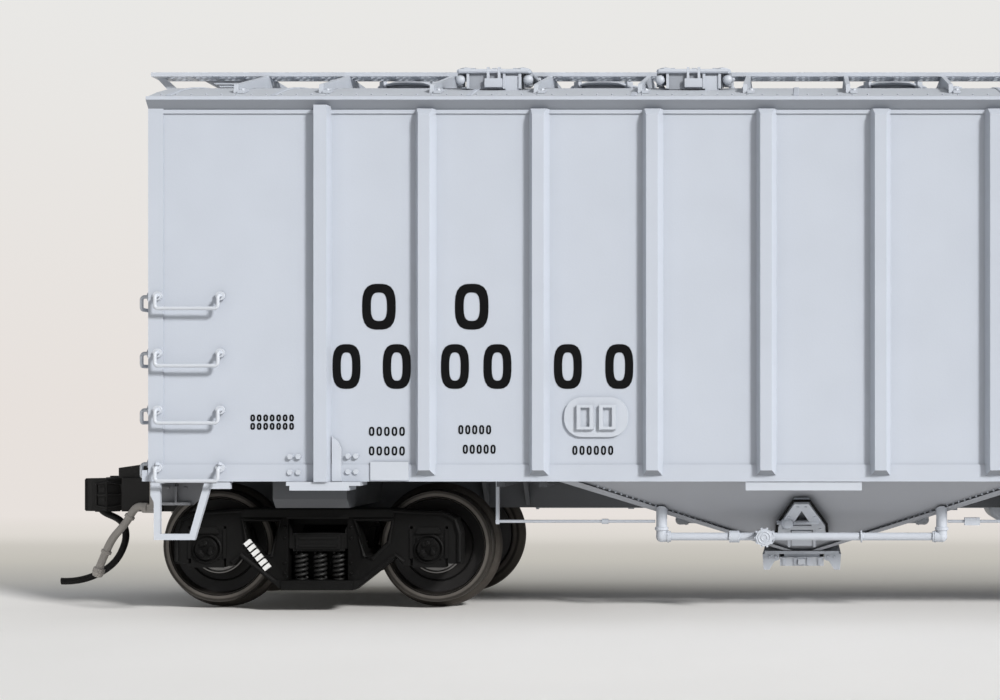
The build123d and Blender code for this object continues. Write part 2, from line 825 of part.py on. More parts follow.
with BuildPart() as brake_wheel:
    with BuildSketch(Plane.YZ.offset(half_len + 3.2)):
        with Locations((brake_y, brake_z)):
            Circle(brake_wheel_r)
            Circle(brake_wheel_r - 0.4, mode=Mode.SUBTRACT)
            Circle(0.6)
            # spokes
            with PolarLocations(1.55, 5):
                Rectangle(2.1, 0.3)
    extrude(amount=0.35)
save(brake_wheel.part, "brake_wheel")

with BuildPart() as housing_and_shaft:
    with BuildSketch(Plane.YZ.offset(half_len + 0.02)):
        with Locations((brake_y, 34.2)):
            RectangleRounded(4.4, 5.6, 0.8)
    extrude(amount=1.9)
    with Locations((half_len + 2.55, brake_y, brake_z)):
        Cylinder(0.45, 1.28, rotation=along_x)
with BuildPart() as chain_rod:
    with Locations((half_len + 1.0, brake_y, 22.3)):
        Cylinder(0.2, 18.16)
    with Locations((half_len + 0.51, brake_y, 24)):
        Box(0.98, 0.8, 0.6)
with BuildPart() as brake_housing:
    add([housing_and_shaft.part, chain_rod.part])
save(brake_housing.part, "brake_housing")

# ---------------------------------------------------------------------------
# Coupler ends, modelled at the +X end and turned half a turn for the -X end
# ---------------------------------------------------------------------------
draft_x = 85.85  # centre of the draft box
draft_len, draft_wid = 6.7, 5.8
draft_wall = 0.6
draft_inner_wid = draft_wid - 2 * draft_wall
draft_bot = 9.2
draft_h = 2.2  # up to the roof of the box
draft_top = draft_bot + draft_h + draft_wall
draft_lid_t = 0.45
draft_lid_z = draft_bot - draft_lid_t
striker_half = 2.6
striker_outline = (  # x, z, sloping on top of the box
    (82.5, draft_top),
    (82.5, 12.9),
    (87.5, 13.3),
    (89.6, 13.0),
    (89.6, draft_top),
)

with BuildPart() as draft_box:
    with BuildSketch(Plane.XY.offset(draft_bot)):
        with Locations((draft_x, 0)):
            Rectangle(draft_len, draft_wid)
            Rectangle(5.1, draft_inner_wid, mode=Mode.SUBTRACT)
        # mouth
        with Locations((88.9, 0)):
            Rectangle(1.1, draft_inner_wid, mode=Mode.SUBTRACT)
    extrude(amount=draft_h)
    with BuildSketch(Plane.XY.offset(draft_bot + draft_h)):
        with Locations((draft_x, 0)):
            Rectangle(draft_len, draft_wid)
    extrude(amount=draft_wall)
    with BuildSketch(Plane.XZ.offset(striker_half)):
        with BuildLine():
            Polyline(*striker_outline, close=True)
        make_face()
    extrude(amount=-2 * striker_half)
    # pivot post
    with Locations((pivot_x, 0, coupler_z)):
        Cylinder(0.6, draft_h)
        Cylinder(0.3, 3.0, mode=Mode.SUBTRACT)
save(with_half_turn([draft_box.part]), "draft_boxes")

with BuildPart() as draft_box_lids:
    with BuildSketch(Plane.XY.offset(draft_lid_z)):
        with Locations((draft_x, 0), (-draft_x, 0)):
            Rectangle(draft_len, draft_wid)
        with Locations((pivot_x, 0), (-pivot_x, 0)):
            Circle(0.31, mode=Mode.SUBTRACT)
    extrude(amount=draft_lid_t)
save(draft_box_lids.part, "draft_box_lids")

screw_head_h = 0.3
with BuildPart() as draft_box_screws:
    with Locations(*[(x, 0, draft_lid_z - screw_head_h / 2) for x in (pivot_x, -pivot_x)]):
        Cylinder(0.8, screw_head_h)
    with Locations((pivot_x, 0, draft_lid_z), (-pivot_x, 0, draft_lid_z)):
        Cylinder(0.28, 2.0, align=base_at)
    # driver slot
    with Locations((pivot_x, 0, 8.5), (-pivot_x, 0, 8.5)):
        Box(1.7, 0.2, 0.2, mode=Mode.SUBTRACT)
save(draft_box_screws.part, "draft_box_screws")

head_bot, head_top = 8.75, 11.95
lug_t = 0.55
head_outline = (  # x, y, with the guard arm on the +Y side
    (89.9, -0.9),
    (89.9, 0.9),
    (91.0, 1.95),
    (92.4, 2.15),
    (93.1, 1.9),
    (93.0, 1.45),
    (92.4, 1.1),
    (91.7, 0.6),
    (91.7, -0.1),
    (90.45, -0.1),
    (90.45, -0.9),
)

with BuildPart() as coupler:
    # shank with the pivot eye
    with BuildSketch(Plane.XY.offset(9.55)):
        with Locations((87.4, 0)):
            Rectangle(6.0, 1.6)
        with Locations((pivot_x, 0)):
            Circle(1.12)
        with Locations((pivot_x, 0)):
            Circle(0.66, mode=Mode.SUBTRACT)
    extrude(amount=1.5)
    with BuildSketch(Plane.XY.offset(head_bot)):
        with BuildLine():
            Polyline(*head_outline, close=True)
        make_face()
    extrude(amount=head_top - head_bot)
    # lugs below and above the knuckle
    for lug_z in (head_bot, head_top - lug_t):
        with BuildSketch(Plane.XY.offset(lug_z)):
            with Locations((knuckle_x, knuckle_y)):
                Circle(0.8)
            with Locations((90.9, -0.5)):
                Rectangle(0.95, 0.9)
        extrude(amount=lug_t)
    # room for the knuckle, and the pin hole
    with Locations((knuckle_x, knuckle_y, coupler_z)):
        Cylinder(0.85, 2.04, mode=Mode.SUBTRACT)
        Cylinder(0.25, 4.0, mode=Mode.SUBTRACT)

hub_r = 0.74
knuckle_bot = 9.32
knuckle_outline = (  # x, y
    (knuckle_x, knuckle_y - hub_r),
    (92.6, -1.65),
    (93.2, -1.0),
    (93.2, 0.15),
    (92.75, 0.45),
    (92.45, 0.2),
    (92.45, -0.55),
    (knuckle_x + 0.5, knuckle_y + 0.5),
)

with BuildPart() as knuckle:
    with BuildSketch(Plane.XY.offset(knuckle_bot)):
        with Locations((knuckle_x, knuckle_y)):
            Circle(hub_r)
        with BuildLine():
            Polyline(*knuckle_outline, close=True)
        make_face()
    extrude(amount=1.96)
    with Locations((knuckle_x, knuckle_y, coupler_z)):
        Cylinder(0.3, 4.0, mode=Mode.SUBTRACT)

with BuildPart() as knuckle_pin:
    with Locations((knuckle_x, knuckle_y, 8.8)):
        Cylinder(0.25, head_top - 8.8, align=base_at)
    with Locations((knuckle_x, knuckle_y, head_top)):
        Cylinder(0.42, 0.15, align=base_at)

# curved trip pin hanging from the knuckle
trip_path = (  # x, y, z
    (92.75, -1.0, knuckle_bot),
    (92.6, -0.98, 8.75),
    (91.7, -0.85, 8.2),
    (90.45, -0.6, 7.5),
    (89.95, -0.35, 6.2),
    (90.1, 0, 5.0),
    (90.95, 0, 3.6),
    (92.0, 0, 2.75),
    (93.5, 0, 2.05),
    (96.2, 0, 1.7),
)
with BuildPart() as trip_pin:
    with BuildLine():
        Spline(*trip_path)
    with BuildSketch(Plane(origin=trip_path[0], z_dir=(-0.08, 0.02, -1))):
        Circle(0.34)
    sweep()
    # trim flush with the underside of the knuckle
    with Locations((0, 0, knuckle_bot + 1)):
        Box(400, 20, 2, mode=Mode.SUBTRACT)

for part, stem in (
    (coupler.part, "coupler"),
    (knuckle.part, "knuckle"),
    (knuckle_pin.part, "knuckle_pin"),
    (trip_pin.part, "trip_pin"),
):
    for end_name, turn in (("b", 0), ("a", 180)):
        save_moved(part.rotate(Axis.Z, turn), f"{stem}_{end_name}")

# air hose beside the coupler, with its fitting and hanger
hose_path = (  # x, y, z
    (86.6, 3.3, 9.1),
    (87.5, 3.3, 9.2),
    (88.5, 3.3, 7.9),
    (89.8, 3.3, 6.3),
    (90.6, 3.3, 4.8),
    (91.3, 3.3, 3.1),
)
with BuildPart() as hose_one:
    with BuildLine():
        Spline(*hose_path)
    with BuildSketch(Plane(origin=hose_path[0], z_dir=(1, 0, 0.4))):
        Circle(0.38)
    sweep()
    with Locations((86.0, 3.25, 9.05)):
        Box(1.4, 0.68, 0.8)
    with Locations((86.0, 3.25, 10.4)):
        Box(0.5, 0.68, 2.6)
save(with_half_turn([hose_one.part]), "air_hoses")

# ---------------------------------------------------------------------------
# Trucks, modelled about X = 0 and moved to both truck centres
# ---------------------------------------------------------------------------
with BuildPart() as king_pins:
    with Locations(*[(x, 0, 5.7) for x in both(truck_x)]):
        Cylinder(0.68, 5.8, align=base_at)
        Cylinder(1.5, 0.55, align=top_at)
save(king_pins.part, "king_pins")

truck_bolster_len = 4.8
truck_bolster_outline = (  # y, z
    (-12.95, 5.65),
    (-12.95, 7.3),
    (-9.6, 7.3),
    (-7.2, 8.8),
    (7.2, 8.8),
    (9.6, 7.3),
    (12.95, 7.3),
    (12.95, 5.65),
    (9.6, 5.65),
    (6.5, 6.0),
    (-6.5, 6.0),
    (-9.6, 5.65),
)
with BuildPart() as truck_bolster:
    with BuildSketch(Plane.YZ.offset(-truck_bolster_len / 2)):
        with BuildLine():
            Polyline(*truck_bolster_outline, close=True)
        make_face()
    extrude(amount=truck_bolster_len)
    # centre plate, side pads and king pin hole
    with Locations((0, 0, 8.95)):
        Cylinder(2.3, 0.3)
    with Locations(*[(0, y, 9.1) for y in both(6.0)]):
        Box(2.6, 1.6, 0.6)
    with Locations((0, 0, 8)):
        Cylinder(0.8, 6, mode=Mode.SUBTRACT)

frame_outline = (  # x, z of the +X half, with the jaw for the bearing adapter
    (0, 9.6),
    (7.0, 9.6),
    (9.0, 9.45),
    (11.6, 9.35),
    (12.8, 8.7),
    (13.2, 7.4),
    (13.2, 4.5),
    (11.95, 4.5),
    (11.95, 7.95),
    (8.46, 7.95),
    (8.46, 4.3),
    (7.9, 4.3),
    (7.2, 5.1),
    (4.8, 3.2),
    (3.4, 2.1),
    (0, 2.1),
)
frame_window = ((3.55, 8.4), (6.7, 8.4), (6.4, 6.6), (5.0, 5.2), (4.4, 5.4))  # x, z
with BuildPart() as side_frames:
    with BuildSketch(Plane.XZ.offset(frame_in)):
        with BuildLine():
            Polyline(*frame_outline, close=True)
        make_face()
        with BuildLine():
            Polyline(*frame_window, close=True)
        make_face(mode=Mode.SUBTRACT)
        mirror(about=Plane.YZ)
        # opening for the bolster and springs
        with Locations((0, 5.85)):
            Rectangle(5.5, 5.7, mode=Mode.SUBTRACT)
    extrude(amount=frame_out - frame_in)
    # spring seat shelf, and a raised strip along the top of the outer face
    with BuildSketch(Plane.XZ.offset(frame_in - 0.5)):
        with Locations((0, 2.55)):
            Rectangle(6.6, 0.9)
    extrude(amount=2.6)
    with BuildSketch(Plane.XZ.offset(frame_out)):
        with Locations((0, 9.15)):
            Rectangle(14.0, 0.7)
    extrude(amount=0.25)
    mirror(about=Plane.XZ)

spring_pitch = 1.75
with BuildPart() as springs:
    for y in both((frame_in + frame_out) / 2):
        with Locations(*[(x, y, 3.0) for x in (-spring_pitch, 0, spring_pitch)]):
            Cylinder(0.5, 2.65, align=base_at)

with BuildPart() as bearing_adapters:
    for x in both(half_wb):
        for y in both(12.45):
            with Locations((x, y, 6.05)):
                Box(3.0, 1.5, 3.8)
            with Locations((x, y, axle_z)):
                Cylinder(bore_r, 3, rotation=along_y, mode=Mode.SUBTRACT)

# cross beams between the side frames, and curved shoes facing the wheel treads
shoe_r = 5.95
with BuildPart() as brake_beams:
    for end in (-1, 1):
        with Locations((end * 3.9, 0, 5.4)):
            Box(0.7, 2 * frame_in - 0.01, 0.7)
        with BuildSketch(Plane.XZ.offset(8.0)):
            with Locations((end * half_wb, axle_z)):
                Circle(shoe_r + 0.6)
                Circle(shoe_r, mode=Mode.SUBTRACT)
            # cut the ring down to a short arc
            with Locations((end * (half_wb + 2.3), axle_z)):
                Rectangle(16, 14, mode=Mode.SUBTRACT)
            with Locations((end * 4.0, axle_z + 4.8), (end * 4.0, axle_z - 5.2)):
                Rectangle(8, 6.0, mode=Mode.SUBTRACT)
        extrude(amount=1.5)
    mirror(about=Plane.XZ)

# axle and wheel pair, about the axle centre
axle_half = 13.75
axle_profile = (  # radius, y
    (0, 0),
    (0.75, 0),
    (0.75, 5.5),
    (0.9, 6.5),
    (0.9, 9.7),
    (0.7, 10.2),
    (journal_r, 10.8),
    (journal_r, 13.3),
    (0.95, 13.3),
    (0.95, axle_half),
    (0, axle_half),
)
with BuildPart() as axle:
    with BuildSketch(Plane.XY):
        with BuildLine():
            Polyline(*axle_profile, close=True)
        make_face()
        mirror(about=Plane.XZ)
    revolve(axis=Axis.Y)
    # three bolt heads on each end cap
    for side in (-1, 1):
        with BuildSketch(Plane.XZ.offset(side * axle_half)):
            with PolarLocations(0.55, 3):
                RegularPolygon(0.24, 6)
        extrude(amount=side * 0.22)

wheel_profile = (  # radius, y
    (0.9, 7.1),
    (2.0, 7.1),
    (2.25, 7.7),
    (4.3, 8.0),
    (4.53, 7.4),
    (5.2, 7.3),
    (5.75, 7.35),
    (flange_r, 7.6),
    (5.7, 7.85),
    (5.3, 8.05),
    (tread_r, 9.65),
    (5.15, 9.8),
    (4.53, 9.8),
    (4.35, 8.9),
    (2.5, 8.5),
    (2.1, 9.5),
    (0.9, 9.5),
)
with BuildPart() as wheels:
    with BuildSketch(Plane.XY):
        with BuildLine():
            Polyline(*wheel_profile, close=True)
        make_face()
    revolve(axis=Axis.Y)
    mirror(about=Plane.XZ)

# truck a is at the -X end, truck b at the +X end; outer axles face the car ends
truck_parts = (
    (truck_bolster.part, "bolster"),
    (side_frames.part, "side_frames"),
    (springs.part, "springs"),
    (bearing_adapters.part, "bearing_adapters"),
    (brake_beams.part, "brake_beams"),
)
for truck, end in (("a", -1), ("b", 1)):
    for part, stem in truck_parts:
        save_moved(part.translate((end * truck_x, 0, 0)), f"truck_{truck}_{stem}")
    for place, outward in (("outer", 1), ("inner", -1)):
        axle_x = end * (truck_x + outward * half_wb)
        for part, stem in ((axle.part, "axle"), (wheels.part, "wheels")):
            save_moved(part.translate((axle_x, 0, axle_z)), f"truck_{truck}_{place}_{stem}")
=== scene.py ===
import bpy, bmesh, math, random
from mathutils import Vector, Matrix


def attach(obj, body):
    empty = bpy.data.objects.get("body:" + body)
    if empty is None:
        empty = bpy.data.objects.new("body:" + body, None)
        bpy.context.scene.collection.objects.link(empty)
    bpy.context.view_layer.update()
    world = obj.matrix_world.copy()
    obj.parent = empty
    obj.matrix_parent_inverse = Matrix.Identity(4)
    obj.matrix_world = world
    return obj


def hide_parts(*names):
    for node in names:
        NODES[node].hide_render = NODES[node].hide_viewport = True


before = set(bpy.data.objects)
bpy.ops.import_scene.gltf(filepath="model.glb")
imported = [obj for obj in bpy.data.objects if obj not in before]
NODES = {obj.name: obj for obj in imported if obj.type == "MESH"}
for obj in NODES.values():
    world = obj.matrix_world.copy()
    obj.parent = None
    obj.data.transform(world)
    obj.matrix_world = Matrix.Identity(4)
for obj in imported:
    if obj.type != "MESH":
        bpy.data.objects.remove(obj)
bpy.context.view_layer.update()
M = 0.001


# ------------------------------------------------------------------ materials
def mat(name, col, rough=0.5, metal=0.0, spec=0.5, var=0.05, bump=0.1, scale=900.0,
        grain=4500.0, coat=0.0, ao=0.0, ao_dist=0.0015, edge=0.0, rough_var=0.08, dust=0.0, shade=0.0):
    """Painted or moulded surface: base colour with slow drift, fine grain bump, painted shade darkening crevices (ao)
    and downward-facing faces (shade).
    """
    m = bpy.data.materials.new(name)
    m.use_nodes = True
    nt = m.node_tree
    nt.nodes.clear()
    N, L = nt.nodes.new, nt.links.new
    out = N("ShaderNodeOutputMaterial")
    b = N("ShaderNodeBsdfPrincipled")
    L(b.outputs[0], out.inputs[0])
    tc = N("ShaderNodeTexCoord")
    n1 = N("ShaderNodeTexNoise"); n1.inputs["Scale"].default_value = scale / 12; n1.inputs["Detail"].default_value = 4
    L(tc.outputs["Object"], n1.inputs["Vector"])
    n2 = N("ShaderNodeTexNoise"); n2.inputs["Scale"].default_value = scale; n2.inputs["Detail"].default_value = 6
    L(tc.outputs["Object"], n2.inputs["Vector"])
    n3 = N("ShaderNodeTexNoise"); n3.inputs["Scale"].default_value = grain; n3.inputs["Detail"].default_value = 3
    L(tc.outputs["Object"], n3.inputs["Vector"])
    mix = N("ShaderNodeMath"); mix.operation = "MULTIPLY_ADD"
    L(n1.outputs[0], mix.inputs[0]); mix.inputs[1].default_value = 0.6
    mm = N("ShaderNodeMath"); mm.operation = "MULTIPLY"; mm.inputs[1].default_value = 0.4
    L(n2.outputs[0], mm.inputs[0]); L(mm.outputs[0], mix.inputs[2])
    cr = N("ShaderNodeMapRange")
    cr.inputs["From Min"].default_value = 0.3; cr.inputs["From Max"].default_value = 0.7
    cr.inputs["To Min"].default_value = 1 - var; cr.inputs["To Max"].default_value = 1 + var
    L(mix.outputs[0], cr.inputs["Value"])
    cm = N("ShaderNodeVectorMath"); cm.operation = "SCALE"
    cm.inputs[0].default_value = col
    L(cr.outputs[0], cm.inputs["Scale"])
    last = cm.outputs[0]
    if ao:
        # painted shade: crevices darkened by the ambient occlusion node
        a = N("ShaderNodeAmbientOcclusion"); a.inputs["Distance"].default_value = ao_dist; a.samples = 6
        ar = N("ShaderNodeMapRange"); ar.inputs["To Min"].default_value = 1 - ao; ar.inputs["To Max"].default_value = 1.0
        L(a.outputs["AO"], ar.inputs["Value"])
        s = N("ShaderNodeVectorMath"); s.operation = "SCALE"
        L(last, s.inputs[0]); L(ar.outputs[0], s.inputs["Scale"]); last = s.outputs[0]
    if shade:
        # painted shade: faces that point downward are darkened
        g = N("ShaderNodeNewGeometry"); sp = N("ShaderNodeSeparateXYZ"); L(g.outputs["Normal"], sp.inputs[0])
        sr = N("ShaderNodeMapRange")
        sr.inputs["From Min"].default_value = -0.45; sr.inputs["From Max"].default_value = -0.05
        sr.inputs["To Min"].default_value = 1 - shade; sr.inputs["To Max"].default_value = 1.0
        L(sp.outputs[2], sr.inputs["Value"])
        s = N("ShaderNodeVectorMath"); s.operation = "SCALE"
        L(last, s.inputs[0]); L(sr.outputs[0], s.inputs["Scale"]); last = s.outputs[0]
    if edge:
        g = N("ShaderNodeNewGeometry")
        er = N("ShaderNodeMapRange")
        er.inputs["From Min"].default_value = 0.52; er.inputs["From Max"].default_value = 0.62
        er.inputs["To Min"].default_value = 0.0; er.inputs["To Max"].default_value = edge
        L(g.outputs["Pointiness"], er.inputs["Value"])
        s = N("ShaderNodeMix"); s.data_type = "RGBA"
        L(er.outputs[0], s.inputs[0]); L(last, s.inputs[6])
        s.inputs[7].default_value = tuple(min(1.0, c * 1.6 + 0.04) for c in col) + (1,)
        last = s.outputs[2]
    if dust:
        g = N("ShaderNodeNewGeometry"); sp = N("ShaderNodeSeparateXYZ"); L(g.outputs["Normal"], sp.inputs[0])
        dm = N("ShaderNodeMath"); dm.operation = "MULTIPLY"; dm.use_clamp = True
        L(sp.outputs[2], dm.inputs[0]); L(n2.outputs[0], dm.inputs[1])
        d2 = N("ShaderNodeMath"); d2.operation = "MULTIPLY"; d2.inputs[1].default_value = dust; L(dm.outputs[0], d2.inputs[0])
        s = N("ShaderNodeMix"); s.data_type = "RGBA"
        L(d2.outputs[0], s.inputs[0]); L(last, s.inputs[6]); s.inputs[7].default_value = (0.30, 0.29, 0.28, 1)
        last = s.outputs[2]
    L(last, b.inputs["Base Color"])
    rr = N("ShaderNodeMapRange")
    rr.inputs["From Min"].default_value = 0.3; rr.inputs["From Max"].default_value = 0.7
    rr.inputs["To Min"].default_value = max(0.02, rough - rough_var); rr.inputs["To Max"].default_value = min(1, rough + rough_var)
    L(n2.outputs[0], rr.inputs["Value"]); L(rr.outputs[0], b.inputs["Roughness"])
    b.inputs["Metallic"].default_value = metal
    b.inputs["Specular IOR Level"].default_value = spec
    b.inputs["Coat Weight"].default_value = coat
    b.inputs["Coat Roughness"].default_value = 0.3
    bp = N("ShaderNodeBump"); bp.inputs["Strength"].default_value = bump; bp.inputs["Distance"].default_value = 0.00005
    L(n3.outputs[0], bp.inputs["Height"])
    L(bp.outputs[0], b.inputs["Normal"])
    return m


PAINT = (0.535, 0.573, 0.642)
m_body = mat("body_paint", PAINT, rough=0.50, var=0.025, bump=0.12, scale=260, grain=5200, ao=0.26, shade=0.42, spec=0.42)
m_detail = mat("detail_paint", (0.57, 0.605, 0.665), rough=0.46, var=0.03, bump=0.10, scale=500, grain=6000, ao=0.25, spec=0.45)
m_roof = mat("roof_paint", (0.545, 0.575, 0.625), rough=0.52, var=0.035, bump=0.14, scale=260, grain=5200, ao=0.30, ao_dist=0.003, shade=0.45, spec=0.40)
# painted shade: the hopper bays get a darker copy of the body grey, standing for the shade they sit in under the body
m_bay_shaded = mat("bay_shaded_paint", (0.485, 0.505, 0.55), rough=0.55, var=0.04, bump=0.14, scale=420, grain=5200, ao=0.45, ao_dist=0.0022, shade=0.2, spec=0.35)
# painted shade: the vent boxes get a darker copy of the body grey, standing for the shade under their lids
m_vent_shaded = mat("vent_shaded_paint", (0.40, 0.425, 0.47), rough=0.50, var=0.04, bump=0.12, scale=420, grain=5200, ao=0.5, ao_dist=0.002, spec=0.4)
# painted shade: a near-black stand-in for the shade under the body, on the underframe floor, centre sill, body bolsters
# and rodding
m_under_shaded = mat("underframe_shaded_paint", (0.105, 0.11, 0.12), rough=0.55, var=0.05, bump=0.15, scale=420, grain=5200, ao=0.30)
m_wire_and_lit_outlets = mat("painted_wire", (0.60, 0.63, 0.68), rough=0.40, var=0.03, bump=0.06, scale=900, grain=7000)
m_truck = mat("truck_black", (0.0034, 0.0033, 0.0032), rough=0.58, var=0.25, bump=0.22, scale=700, grain=4200, edge=0.12, spec=0.09, dust=0.006)
m_coup = mat("coupler_black", (0.0135, 0.0125, 0.0118), rough=0.55, var=0.25, bump=0.22, scale=800, grain=4200, edge=0.3, dust=0.02, spec=0.25)
m_hose = mat("hose_grey", (0.50, 0.465, 0.43), rough=0.42, var=0.1, bump=0.12, scale=900, grain=4200)
m_steel = mat("plain_steel", (0.42, 0.41, 0.40), rough=0.33, metal=1.0, var=0.08, bump=0.08, scale=1500, grain=5200)
# painted shade: a dark copy of the body grey for the corner webs, which sit in shade under the sill
m_web_shaded = mat("web_shaded_paint", (0.235, 0.24, 0.255), rough=0.55, var=0.05, bump=0.14, scale=420, grain=5200, ao=0.4, ao_dist=0.0022)
m_hub = mat("hub_metal", (0.22, 0.215, 0.21), rough=0.36, metal=0.9, var=0.1, bump=0.1, scale=1500, grain=5200)
m_ballast = mat("ballast_steel", (0.30, 0.28, 0.26), rough=0.45, metal=0.9, var=0.2, bump=0.25, scale=500, grain=2500)
m_spring = mat("spring_black", (0.008, 0.0078, 0.0075), rough=0.55, metal=0.15, var=0.2, bump=0.12, scale=1500, grain=5200)
m_ink = mat("marking_black", (0.0045, 0.0045, 0.005), spec=0.12, rough=0.5, var=0.1, bump=0.05, scale=900, grain=5200)
m_white = mat("marking_white", (0.78, 0.78, 0.77), rough=0.5, var=0.04, bump=0.05, scale=900, grain=5200)


def wheel_material():
    """Blackened wheel: brown-grey polished rim ring and tread, dark plate and hub."""
    m = bpy.data.materials.new("wheel_metal")
    m.use_nodes = True
    nt = m.node_tree; nt.nodes.clear()
    N, L = nt.nodes.new, nt.links.new
    out = N("ShaderNodeOutputMaterial"); b = N("ShaderNodeBsdfPrincipled"); L(b.outputs[0], out.inputs[0])
    at = N("ShaderNodeAttribute"); at.attribute_name = "axle_r"; at.attribute_type = "GEOMETRY"
    cr = N("ShaderNodeValToRGB")
    cr.color_ramp.interpolation = "LINEAR"
    e = cr.color_ramp.elements
    e[0].position = 0.0; e[0].color = (0.018, 0.017, 0.016, 1)
    e[1].position = 1.0; e[1].color = (0.075, 0.066, 0.058, 1)
    for pos, c in ((0.735, (0.016, 0.015, 0.015)), (0.775, (0.06, 0.053, 0.046)), (0.80, (0.17, 0.155, 0.14)), (0.83, (0.17, 0.155, 0.14)), (0.85, (0.05, 0.045, 0.04)), (0.90, (0.075, 0.067, 0.058))):
        x = e.new(pos); x.color = c + (1,)
    L(at.outputs["Fac"], cr.inputs[0])
    tc = N("ShaderNodeTexCoord"); n = N("ShaderNodeTexNoise"); n.inputs["Scale"].default_value = 900; n.inputs["Detail"].default_value = 6
    L(tc.outputs["Object"], n.inputs["Vector"])
    mr = N("ShaderNodeMapRange"); mr.inputs["To Min"].default_value = 0.75; mr.inputs["To Max"].default_value = 1.25
    L(n.outputs[0], mr.inputs["Value"])
    s = N("ShaderNodeVectorMath"); s.operation = "SCALE"; L(cr.outputs[0], s.inputs[0]); L(mr.outputs[0], s.inputs["Scale"])
    L(s.outputs[0], b.inputs["Base Color"])
    mt = N("ShaderNodeMapRange"); mt.inputs["From Min"].default_value = 0.74; mt.inputs["From Max"].default_value = 0.78
    mt.inputs["To Min"].default_value = 0.15; mt.inputs["To Max"].default_value = 0.75
    L(at.outputs["Fac"], mt.inputs["Value"]); L(mt.outputs[0], b.inputs["Metallic"])
    r2 = N("ShaderNodeMapRange"); r2.inputs["To Min"].default_value = 0.34; r2.inputs["To Max"].default_value = 0.52
    L(n.outputs[0], r2.inputs["Value"]); L(r2.outputs[0], b.inputs["Roughness"])
    w = N("ShaderNodeTexNoise"); w.inputs["Scale"].default_value = 4500; L(tc.outputs["Object"], w.inputs["Vector"])
    bp = N("ShaderNodeBump"); bp.inputs["Strength"].default_value = 0.15; bp.inputs["Distance"].default_value = 0.00004
    L(w.outputs[0], bp.inputs["Height"]); L(bp.outputs[0], b.inputs["Normal"])
    return m


m_wheel = wheel_material()


def axle_radius(o, cx, cz):
    """Writes each point's distance from the axle line, over the flange radius, for the wheel material."""
    a = o.data.attributes.get("axle_r") or o.data.attributes.new("axle_r", "FLOAT", "POINT")
    for i, v in enumerate(o.data.vertices):
        a.data[i].value = math.hypot(v.co.x - cx, v.co.z - cz) / 0.005885


for name, o in NODES.items():
    if name.endswith("_wheels"):
        m = m_wheel
    elif name.endswith("_axle"):
        m = m_truck
    elif name.startswith("truck_") and name.endswith("springs"):
        m = m_spring
    elif name.startswith("truck_"):
        m = m_truck
    elif name in ("king_pins", "draft_box_screws"):
        m = m_steel
    elif name.startswith(("coupler_", "knuckle_", "trip_pin", "draft_box")):
        m = m_coup
    elif name == "ballast_weight":
        m = m_ballast
    elif name == "air_hoses":
        m = m_hose
    elif name in ("underframe_floor", "center_sill"):
        m = m_under_shaded
    elif name in ("grab_irons", "ladders"):
        m = m_wire_and_lit_outlets
    elif name in ("roof_panel", "hatch_covers"):
        m = m_roof
    elif name == "hopper_bays":
        m = m_bay_shaded
    # painted light: the outlet blocks take the lighter wire paint to stand for the light they catch
    elif name == "outlet_blocks":
        m = m_wire_and_lit_outlets
    elif name == "body_bolsters":
        m = m_under_shaded
    elif name == "vent_boxes":
        m = m_vent_shaded
    elif name == "body_shell":
        m = m_body
    else:
        m = m_detail
    o.data.materials.clear()
    o.data.materials.append(m)
for name, o in NODES.items():
    if name.endswith("_wheels"):
        s = -1 if "_a_" in name else 1
        k = 1 if "outer" in name else -1
        axle_radius(o, s * (67.4 + k * 10.205) * M, 5.885 * M)


def soften(name, width, segments=2, angle=35):
    o = NODES[name]
    b = o.modifiers.new("edge_round", "BEVEL")
    b.width = width * M; b.segments = segments; b.limit_method = "ANGLE"
    b.angle_limit = math.radians(angle); b.use_clamp_overlap = True; b.harden_normals = False


# --------------------------------------------------------------- mesh helpers
def new_piece(name, bm, material, body, smooth=False):
    me = bpy.data.meshes.new(name)
    bmesh.ops.recalc_face_normals(bm, faces=bm.faces)
    bm.to_mesh(me); bm.free()
    if smooth:
        for p in me.polygons: p.use_smooth = True
    o = bpy.data.objects.new(name, me)
    bpy.context.scene.collection.objects.link(o)
    me.materials.append(material)
    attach(o, body)
    return o


def tube(bm, pts, r, sides=8, closed=False):
    """A round tube along points given in millimetres."""
    P = [Vector(p) * M for p in pts]
    rings = []
    n = len(P)
    up = None
    for i, p in enumerate(P):
        a = P[i - 1] if (i > 0 or closed) else P[i]
        b = P[(i + 1) % n] if (i < n - 1 or closed) else P[i]
        t = (b - a).normalized()
        if up is None:
            up = Vector((0, 0, 1)) if abs(t.z) < 0.9 else Vector((1, 0, 0))
        side = t.cross(up).normalized()
        up = side.cross(t).normalized()
        rings.append([bm.verts.new(p + (side * math.cos(k * 2 * math.pi / sides) + up * math.sin(k * 2 * math.pi / sides)) * r * M) for k in range(sides)])
    m = n if closed else n - 1
    for i in range(m):
        A, B = rings[i], rings[(i + 1) % n]
        for k in range(sides):
            bm.faces.new((A[k], A[(k + 1) % sides], B[(k + 1) % sides], B[k]))
    if not closed:
        bm.faces.new(rings[0][::-1]); bm.faces.new(rings[-1])


